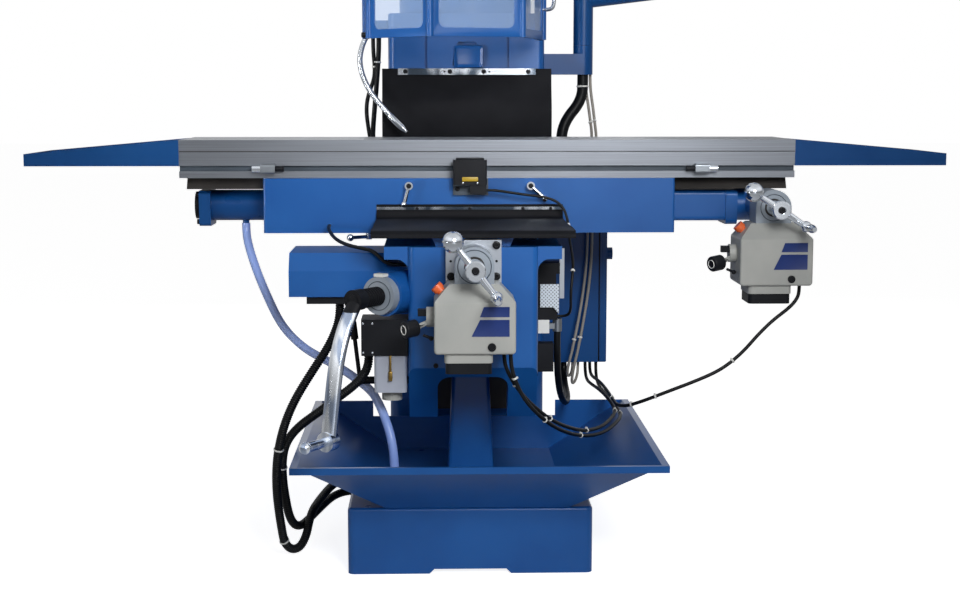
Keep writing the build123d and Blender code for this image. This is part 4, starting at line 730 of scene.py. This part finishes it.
guardHandle = {"name": "guardHandle", "body": "guard", "paint": "chrome", "diameter": 9,
               "route": [(167, -34, 1196), (184, -39, 1196), (194, -42, 1200), (197, -43, 1215), (197, -43, 1270),
                         (194, -42, 1286), (184, -39, 1290), (167, -34, 1290)]}
handle = smoothTube(layRoute(guardHandle["name"], guardHandle["route"]), guardHandle["diameter"])
setPiece(handle, guardHandle)
print("guard is dressed")

# Cast pad on the column's head, with a shallow pocket in its face
columnPad = {"name": "columnPad", "body": "machine_base", "at": (4, 121, 1094), "size": (70, 12, 54), "round": 4,
             "topShare": 0.8, "rim": 6, "pocket": 5}
pad = bevelBlock(columnPad["at"], columnPad["size"], columnPad["round"])
pick(pad, lambda centre, normal: normal.z > 0.9)
bpy.ops.transform.resize(value=(columnPad["topShare"], 1, 1))
leaveEdit()
pick(pad, lambda centre, normal: normal.y < -0.9)
bpy.ops.mesh.inset(thickness=columnPad["rim"] / 1000)
bpy.ops.transform.translate(value=(0, columnPad["pocket"] / 1000, 0))
leaveEdit()
pad.name = columnPad["name"]
dress(pad, "blue", 30)
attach(pad, columnPad["body"])

# What two pieces bend with: the bodies at both ends and, in metres, where the bend starts and stops
leadBendA = ("knee", "machine_base", (0.06, -0.602, 0.47), (0.316, -0.25, 0.289))
leadBendB = ("knee", "machine_base", (0.072, -0.624, 0.47), (0.326, -0.25, 0.277))
neckBend = ("machine_base", "knee", (-0.245, 0.14, 1.14), (-0.15, 0.05, 0.925))

# Every cord: its route in millimetres, as in the part's source, and how it is held
# It is black and of medium stiffness unless its dictionary says otherwise
cordPieces = [
    {"name": "conduitLong", "node": "conduits", "diameter": 19, "rib": (5.0, 1.5), "stiffness": "stiff",
     "ties": [0.3, 0.52], "bend": ("knee", "machine_base", (-0.30, -0.42, 0.47), (-0.40, -0.35, 0.11)),
     "route": [(-278, -405, 569), (-278, -405, 547), (-284, -410, 517), (-303, -417, 475),
               (-337, -425, 425), (-374, -430, 366), (-397, -428, 312), (-412, -414, 254),
               (-418, -400, 204), (-419, -387, 155), (-416, -374, 108), (-412, -364, 70),
               (-408, -354, 36), (-394, -336, 14), (-376, -314, 14), (-364, -294, 36),
               (-360, -270, 60), (-355, -238, 76), (-347, -196, 83), (-338, -140, 86),
               (-326, -80, 90), (-309, -36, 95), (-286, -12, 98), (-263, -12, 98)]},
    {"name": "conduitShort", "node": "conduits", "diameter": 19, "rib": (5.0, 1.5), "stiffness": "stiff",
     "ties": [0.42], "bend": ("knee", "machine_base", (-0.25, -0.44, 0.40), (-0.40, -0.33, 0.09)),
     "route": [(-216, -450, 473), (-216, -450, 452), (-223, -448, 427), (-243, -443, 402),
               (-278, -434, 374), (-324, -422, 338), (-369, -408, 304), (-397, -395, 268),
               (-407, -380, 226), (-408, -364, 178), (-404, -348, 132), (-399, -332, 92),
               (-391, -308, 64), (-380, -276, 51), (-368, -238, 52), (-355, -192, 57),
               (-341, -138, 61), (-327, -84, 64), (-310, -44, 66), (-287, -22, 67), (-263, -22, 67)]},
    {"name": "drainHoseUpper", "node": "drain_hose_upper", "diameter": 19, "paint": "hose",
     "bend": ("saddle", "knee", (-0.51, -0.08, 0.69), (-0.25, -0.37, 0.41)),
     "route": [(-510, -80, 712), (-510, -80, 696), (-507, -90, 674), (-495, -112, 638),
               (-475, -138, 590), (-450, -168, 541), (-430, -195, 507), (-405, -226, 478),
               (-362, -272, 448), (-312, -317, 430), (-270, -356, 414), (-238, -386, 396)]},
    {"name": "drainHoseLower", "node": "drain_hose_lower", "diameter": 19, "paint": "hose", "end": "bare",
     "bend": ("knee", "machine_base", (-0.19, -0.44, 0.34), (-0.163, -0.475, 0.22)),
     "route": [(-238, -386, 396), (-214, -408.5, 382.5), (-198, -430, 360), (-184, -448, 332),
               (-172, -464, 298), (-166, -472, 265), (-164, -474, 238), (-163, -475, 215)]},
    {"name": "yFeedLeadA", "node": "y_feed_cables", "diameter": 8, "ties": [0.3, 0.55, 0.8], "bend": leadBendA,
     "route": [(60, -602, 500), (60, -602, 484), (62, -605, 467), (70, -608, 448), (86, -605, 420),
               (108, -592, 392), (140, -566, 360), (172, -528, 333), (206, -470, 310),
               (236, -420, 294), (264, -375, 287), (296, -315, 286), (316, -250, 289)]},
    {"name": "yFeedLeadB", "node": "y_feed_cables", "diameter": 8, "ties": [0.22, 0.5, 0.74], "bend": leadBendB,
     "route": [(72, -624, 500), (72, -624, 483), (74, -626, 464), (81, -627, 440), (95, -620, 408),
               (116, -602, 378), (146, -572, 346), (176, -530, 320), (210, -470, 297),
               (242, -418, 282), (272, -371, 275), (304, -312, 274), (326, -250, 277)]},
    {"name": "xFeedLead", "node": "x_feed_cable", "diameter": 8, "ties": [0.46, 0.78, 0.92],
     "bend": ("saddle", "knee", (0.70, -0.265, 0.54), (0.36, -0.24, 0.315)),
     "route": [(727, -262, 589), (727, -262, 572), (723, -263, 556), (706, -265, 536),
               (668, -268, 508), (634, -272, 475), (607, -275, 444), (575, -277, 415),
               (541, -278, 393), (487, -277, 370), (454, -274, 357), (421, -269, 343),
               (390, -260, 329), (366, -247, 318), (350, -229, 310), (342, -205, 306)]},
    {"name": "cabinetLeadA", "node": "cabinet_cables", "diameter": 8, "ties": [0.1], "bend": leadBendA,
     "route": [(316, -250, 289), (329, -207.75, 290.95), (331, -150, 294), (324, -60, 300), (312, 30, 303),
               (304, 100, 300), (300, 160, 298), (299, 196, 303), (299, 214, 315), (299, 220, 328),
               (299, 220, 340)]},
    {"name": "cabinetLeadB", "node": "cabinet_cables", "diameter": 8, "ties": [0.14], "bend": leadBendB,
     "route": [(326, -250, 277), (339.2, -212.8, 278.8), (346, -150, 281), (341, -60, 285), (334, 30, 288),
               (329, 100, 287), (327, 160, 288), (326, 196, 296), (326, 214, 311), (326, 220, 327),
               (326, 220, 340)]},
    {"name": "cabinetLeadC", "node": "cabinet_cables", "diameter": 8, "ties": [0.2],
     "bend": ("knee", "machine_base", (0.335, -0.17, 0.30), (0.312, 0.17, 0.31)),
     "route": [(342, -205, 306), (334.8, -183.4, 302.4), (331, -140, 306), (326, -60, 313), (320, 30, 316),
               (314, 100, 314), (312, 160, 309), (312, 204, 308), (312, 226, 315), (312, 234, 327),
               (312, 234, 340)]},
    {"name": "kneeHose", "node": "cabinet_cables", "diameter": 15, "stiffness": "stiff",
     "bend": ("knee", "machine_base", (0.19, -0.30, 0.40), (0.245, 0.14, 0.28)),
     "route": [(187, -322, 494), (187, -322, 472), (188, -316, 440), (190, -298, 402), (196, -262, 362),
               (206, -205, 326), (220, -120, 298), (232, -40, 285), (240, 40, 280), (244, 100, 278),
               (246, 152, 279), (246, 194, 288), (246, 220, 306), (246, 229, 325), (246, 229, 340)]},
    {"name": "limitLead", "node": "saddle_cables", "diameter": 6,
     "bend": ("saddle", "knee", (0.21, -0.23, 0.75), (0.218, -0.31, 0.665)), "ties": [0.4, 0.66],
     "route": [(36, -225, 794), (54, -225, 794), (82, -226, 790), (122, -227, 784), (160, -228, 780),
               (188, -229, 772), (206, -231, 756), (214, -236, 734), (217, -250, 710), (217, -272, 688),
               (218, -300, 672), (219, -326, 656), (219, -344, 636), (216, -355, 612), (213, -360, 588),
               (213, -359, 566), (214, -351, 547), (211, -340, 533), (200, -333, 528), (186, -333, 528)]},
    {"name": "liftLead", "node": "saddle_cables", "diameter": 8,
     "bend": ("saddle", "knee", (-0.312, -0.21, 0.714), (-0.21, -0.42, 0.684)),
     "route": [(-312, -195, 714), (-312, -212, 714), (-311, -236, 712), (-305, -272, 704), (-289, -318, 693),
               (-262, -366, 686), (-230, -404, 683), (-208, -424, 680), (-193, -436, 668), (-180, -440, 657),
               (-165, -438, 652.5), (-148, -435, 652), (-133.8, -435, 652)]},
    {"name": "pendantHose", "node": "pendant_hose", "diameter": 27, "stiffness": "stiff", "body": "machine_base",
     "ties": [0.14, 0.93],
     "route": [(287, 215, 1052), (287, 215, 1030), (286, 215, 1003), (274, 214.5, 976), (254, 214, 952),
               (241, 213, 928), (235, 212, 902), (235, 212, 880)]},
    {"name": "greyLeadA", "node": "column_cables", "diameter": 7, "paint": "greyCable", "body": "machine_base",
     "ties": [0.16, 0.44, 0.66],
     "route": [(306, 222, 1052), (306, 222, 1034), (308, 223, 1008), (314, 223, 970), (318, 219, 934),
               (320, 203, 908), (319, 187, 886), (316, 179, 856), (313, 175, 812), (310, 172, 750),
               (308.5, 170, 680), (308, 168, 610), (303, 164, 545), (294, 160, 482), (284, 154, 424),
               (273, 148, 372), (263, 147, 328), (260, 156, 300), (264, 175, 288), (272, 197, 290),
               (279, 213, 304), (281, 219, 322), (281, 219, 340)]},
    {"name": "greyLeadB", "node": "column_cables", "diameter": 7, "paint": "greyCable", "body": "machine_base",
     "ties": [0.17, 0.46, 0.68],
     "route": [(296, 235, 1052), (296, 235, 1034), (298, 236, 1008), (304, 236, 972), (308, 232, 940),
               (310, 217, 916), (309, 199, 900), (306, 183, 880), (303, 174, 846), (300, 170, 800),
               (298, 168, 742), (297, 166, 676), (296, 164, 608), (290, 160, 544), (281, 155, 482),
               (270, 149, 424), (259, 143, 374), (250, 141, 340), (248, 150, 318), (253, 170, 308),
               (260, 192, 308), (265, 209, 315), (267, 217, 327), (267, 217, 340)]},
    {"name": "columnLead", "node": "column_cables", "diameter": 12, "body": "machine_base", "ties": [0.2],
     "route": [(-213.5, 214, 1142), (-213.5, 214, 1120), (-215, 214, 1090), (-217.5, 214, 1054),
               (-221, 214, 1010), (-226, 215, 960), (-230, 216, 910), (-230, 217, 866), (-222, 218, 844),
               (-207, 218, 833), (-190, 218, 833)]},
    {"name": "thinColumnLead", "node": "column_cables", "diameter": 10, "body": "machine_base", "ties": [0.21],
     "route": [(-228, 232, 1142), (-228, 232, 1122), (-227, 232, 1098), (-224.5, 232, 1070),
               (-226, 232, 1042), (-236, 232, 1016), (-244, 232, 990), (-246, 232, 962), (-243, 232, 932),
               (-238, 233, 900), (-233, 234, 872), (-224, 235, 850), (-208, 236, 838), (-190, 236, 838)]},
    {"name": "coolantNeck", "node": "gooseneck", "diameter": 13, "rib": (3.2, 0.5), "paint": "chrome",
     "stiffness": "stiff", "end": "bare", "bend": neckBend,
     "route": [(-226, 191, 1160), (-226, 172, 1160), (-232, 152, 1154), (-244, 136, 1136), (-253, 124, 1110),
               (-256.5, 112, 1082), (-249, 98, 1046), (-229, 84, 1007), (-202.5, 72, 976),
               (-174, 58.5, 945.5), (-148, 48, 920)]},
]


def holdSoft(made, piece):
    # A cord and what is tied round it move in the same way
    if "bend" in piece:
        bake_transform(made)
    else:
        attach(made, piece["body"])


tieForm = {"gap": 0.6, "wire": 1.1, "ring": {"rings": 28, "sides": 8, "stretch": 1.9},
           "lock": (4.6, 3.4, 4.2), "lockOut": 1.5, "lockRound": 0.6}


def tieRings(piece, spots):
    # White nylon ties: a flat band with its lock, one for each share of the cord's length
    bands = []
    for share in piece["ties"]:
        index = min(len(spots) - 2, int(share * (len(spots) - 1)))
        here = Vector(spots[index])
        band = flatRing(piece["diameter"] / 2 + tieForm["gap"], tieForm["wire"], **tieForm["ring"])
        lock = bevelBlock((0, piece["diameter"] / 2 + tieForm["lockOut"], 0), tieForm["lock"], tieForm["lockRound"])
        joinPieces([band, lock])
        band.data.transform(Matrix.Translation(here) @ turnTo(Vector(spots[index + 1]) - here))
        bands.append(band)
    made = joinPieces(bands)
    made.name = piece["name"] + "Ties"
    dress(made, "white")
    return made


for piece in cordPieces:
    line = layRoute(piece["name"], piece["route"])
    spots = readRoute(line)
    if "rib" in piece:
        tube = ribbedTube(line, piece["diameter"], *piece["rib"])
    else:
        tube = smoothTube(line, piece["diameter"])
    tube.data.materials.clear()
    tube.data.materials.append(paints[piece.get("paint", "cable")])
    holdSoft(tube, piece)
    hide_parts(piece["node"])
    tied = []
    if "ties" in piece:
        tied.append(tieRings(piece, spots))
        holdSoft(tied[0], piece)
print(len(cordPieces), "cords are laid")

# Turned nozzle on the coolant neck's tip, in line with its last run: a body, a cone, a lip and the bore
nozzlePiece = {"name": "coolantNozzle", "paint": "chrome", "radius": 8, "long": 42, "cone": 12, "coneShare": 0.5,
               "lip": 4, "wall": 1.4, "bore": 8, "setBack": 30, "tip": (-148, 48, 920), "back": (-174, 58.5, 945.5),
               "bend": neckBend}
along = mm(nozzlePiece["tip"]) - mm(nozzlePiece["back"])
deselect()
bpy.ops.mesh.primitive_cylinder_add(vertices=28, radius=nozzlePiece["radius"] / 1000,
                                    depth=nozzlePiece["long"] / 1000)
nozzle = bpy.context.object
pick(nozzle, lambda centre, normal: normal.z > 0.9)
bpy.ops.mesh.extrude_region_move(TRANSFORM_OT_translate={"value": (0, 0, nozzlePiece["cone"] / 1000)})
bpy.ops.transform.resize(value=(nozzlePiece["coneShare"], nozzlePiece["coneShare"], 1))
bpy.ops.mesh.extrude_region_move(TRANSFORM_OT_translate={"value": (0, 0, nozzlePiece["lip"] / 1000)})
bpy.ops.mesh.inset(thickness=nozzlePiece["wall"] / 1000)
bpy.ops.mesh.extrude_region_move(TRANSFORM_OT_translate={"value": (0, 0, -nozzlePiece["bore"] / 1000)})
leaveEdit()
middle = mm(nozzlePiece["tip"]) - along.normalized() * nozzlePiece["setBack"] / 1000
nozzle.data.transform(Matrix.Translation(middle) @ turnTo(along))
nozzle.name = nozzlePiece["name"]
dress(nozzle, nozzlePiece["paint"])
holdSoft(nozzle, nozzlePiece)

# Rubber aprons: the section of each in millimetres (y, z), swept across the machine, with a slight wave along Y or Z
apronPieces = [
    {"name": "rearApron", "node": "rear_apron", "half": 203, "thick": 4, "wave": (1.2, 0), "lastWave": 11,
     "bend": ("machine_base", "knee", (0, 0.12, 1.045), (0, 0.12, 0.84)), "held": "hung", "on": "rear_apron_strip",
     "section": [(123, 1065), (123, 1058), (123, 1051), (121, 1036), (116, 1014), (109, 994), (104.5, 976),
                 (103, 955), (103, 925), (105, 890), (107, 862), (109, 837)]},
    {"name": "frontApron", "node": "front_apron", "half": 207, "thick": 4, "wave": (0, 1.0), "lastWave": 10,
     "body": "saddle", "fold": {"axis": (0, 1, 0), "anchor": (0, -0.2, 0.74), "keep": 0.2}, "held": "laid",
     "on": "front_apron_strip",
     "section": [(-201, 746.5), (-202, 740), (-203.5, 734.5), (-207.5, 730.5), (-217, 728.6), (-240, 728),
                 (-290, 728), (-340, 728), (-390, 728.2), (-440, 728.5), (-490, 728.8), (-530, 729), (-539, 728.4),
                 (-544.5, 725), (-546, 721), (-546, 716.5)]},
]
apronColumns, waveLength = 48, 47
for piece in apronPieces:
    rows = piece["section"]
    deselect()
    bpy.ops.mesh.primitive_grid_add(x_subdivisions=apronColumns, y_subdivisions=len(rows) - 1, size=2)
    sheet = bpy.context.object
    sheet.name = piece["name"]
    for spot in sheet.data.vertices:
        row = round((spot.co.y + 1) / 2 * (len(rows) - 1))
        x = spot.co.x * piece["half"]
        y, z = rows[row]
        sway = math.sin(x / waveLength + row) * min(1, max(0, row - 2) / 3) if row <= piece["lastWave"] else 0
        spot.co = mm((x, y + sway * piece["wave"][0], z + sway * piece["wave"][1]))
    wall = sheet.modifiers.new("wall", "SOLIDIFY")
    wall.thickness = piece["thick"] / 1000
    wall.offset = 0
    bpy.ops.object.modifier_apply(modifier="wall")
    editAll()
    bpy.ops.mesh.normals_make_consistent(inside=False)
    leaveEdit()
    dress(sheet, "rubber")
    holdSoft(sheet, piece)
    if "fold" in piece:
        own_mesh(sheet)
    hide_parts(piece["node"])
print("aprons are hung")
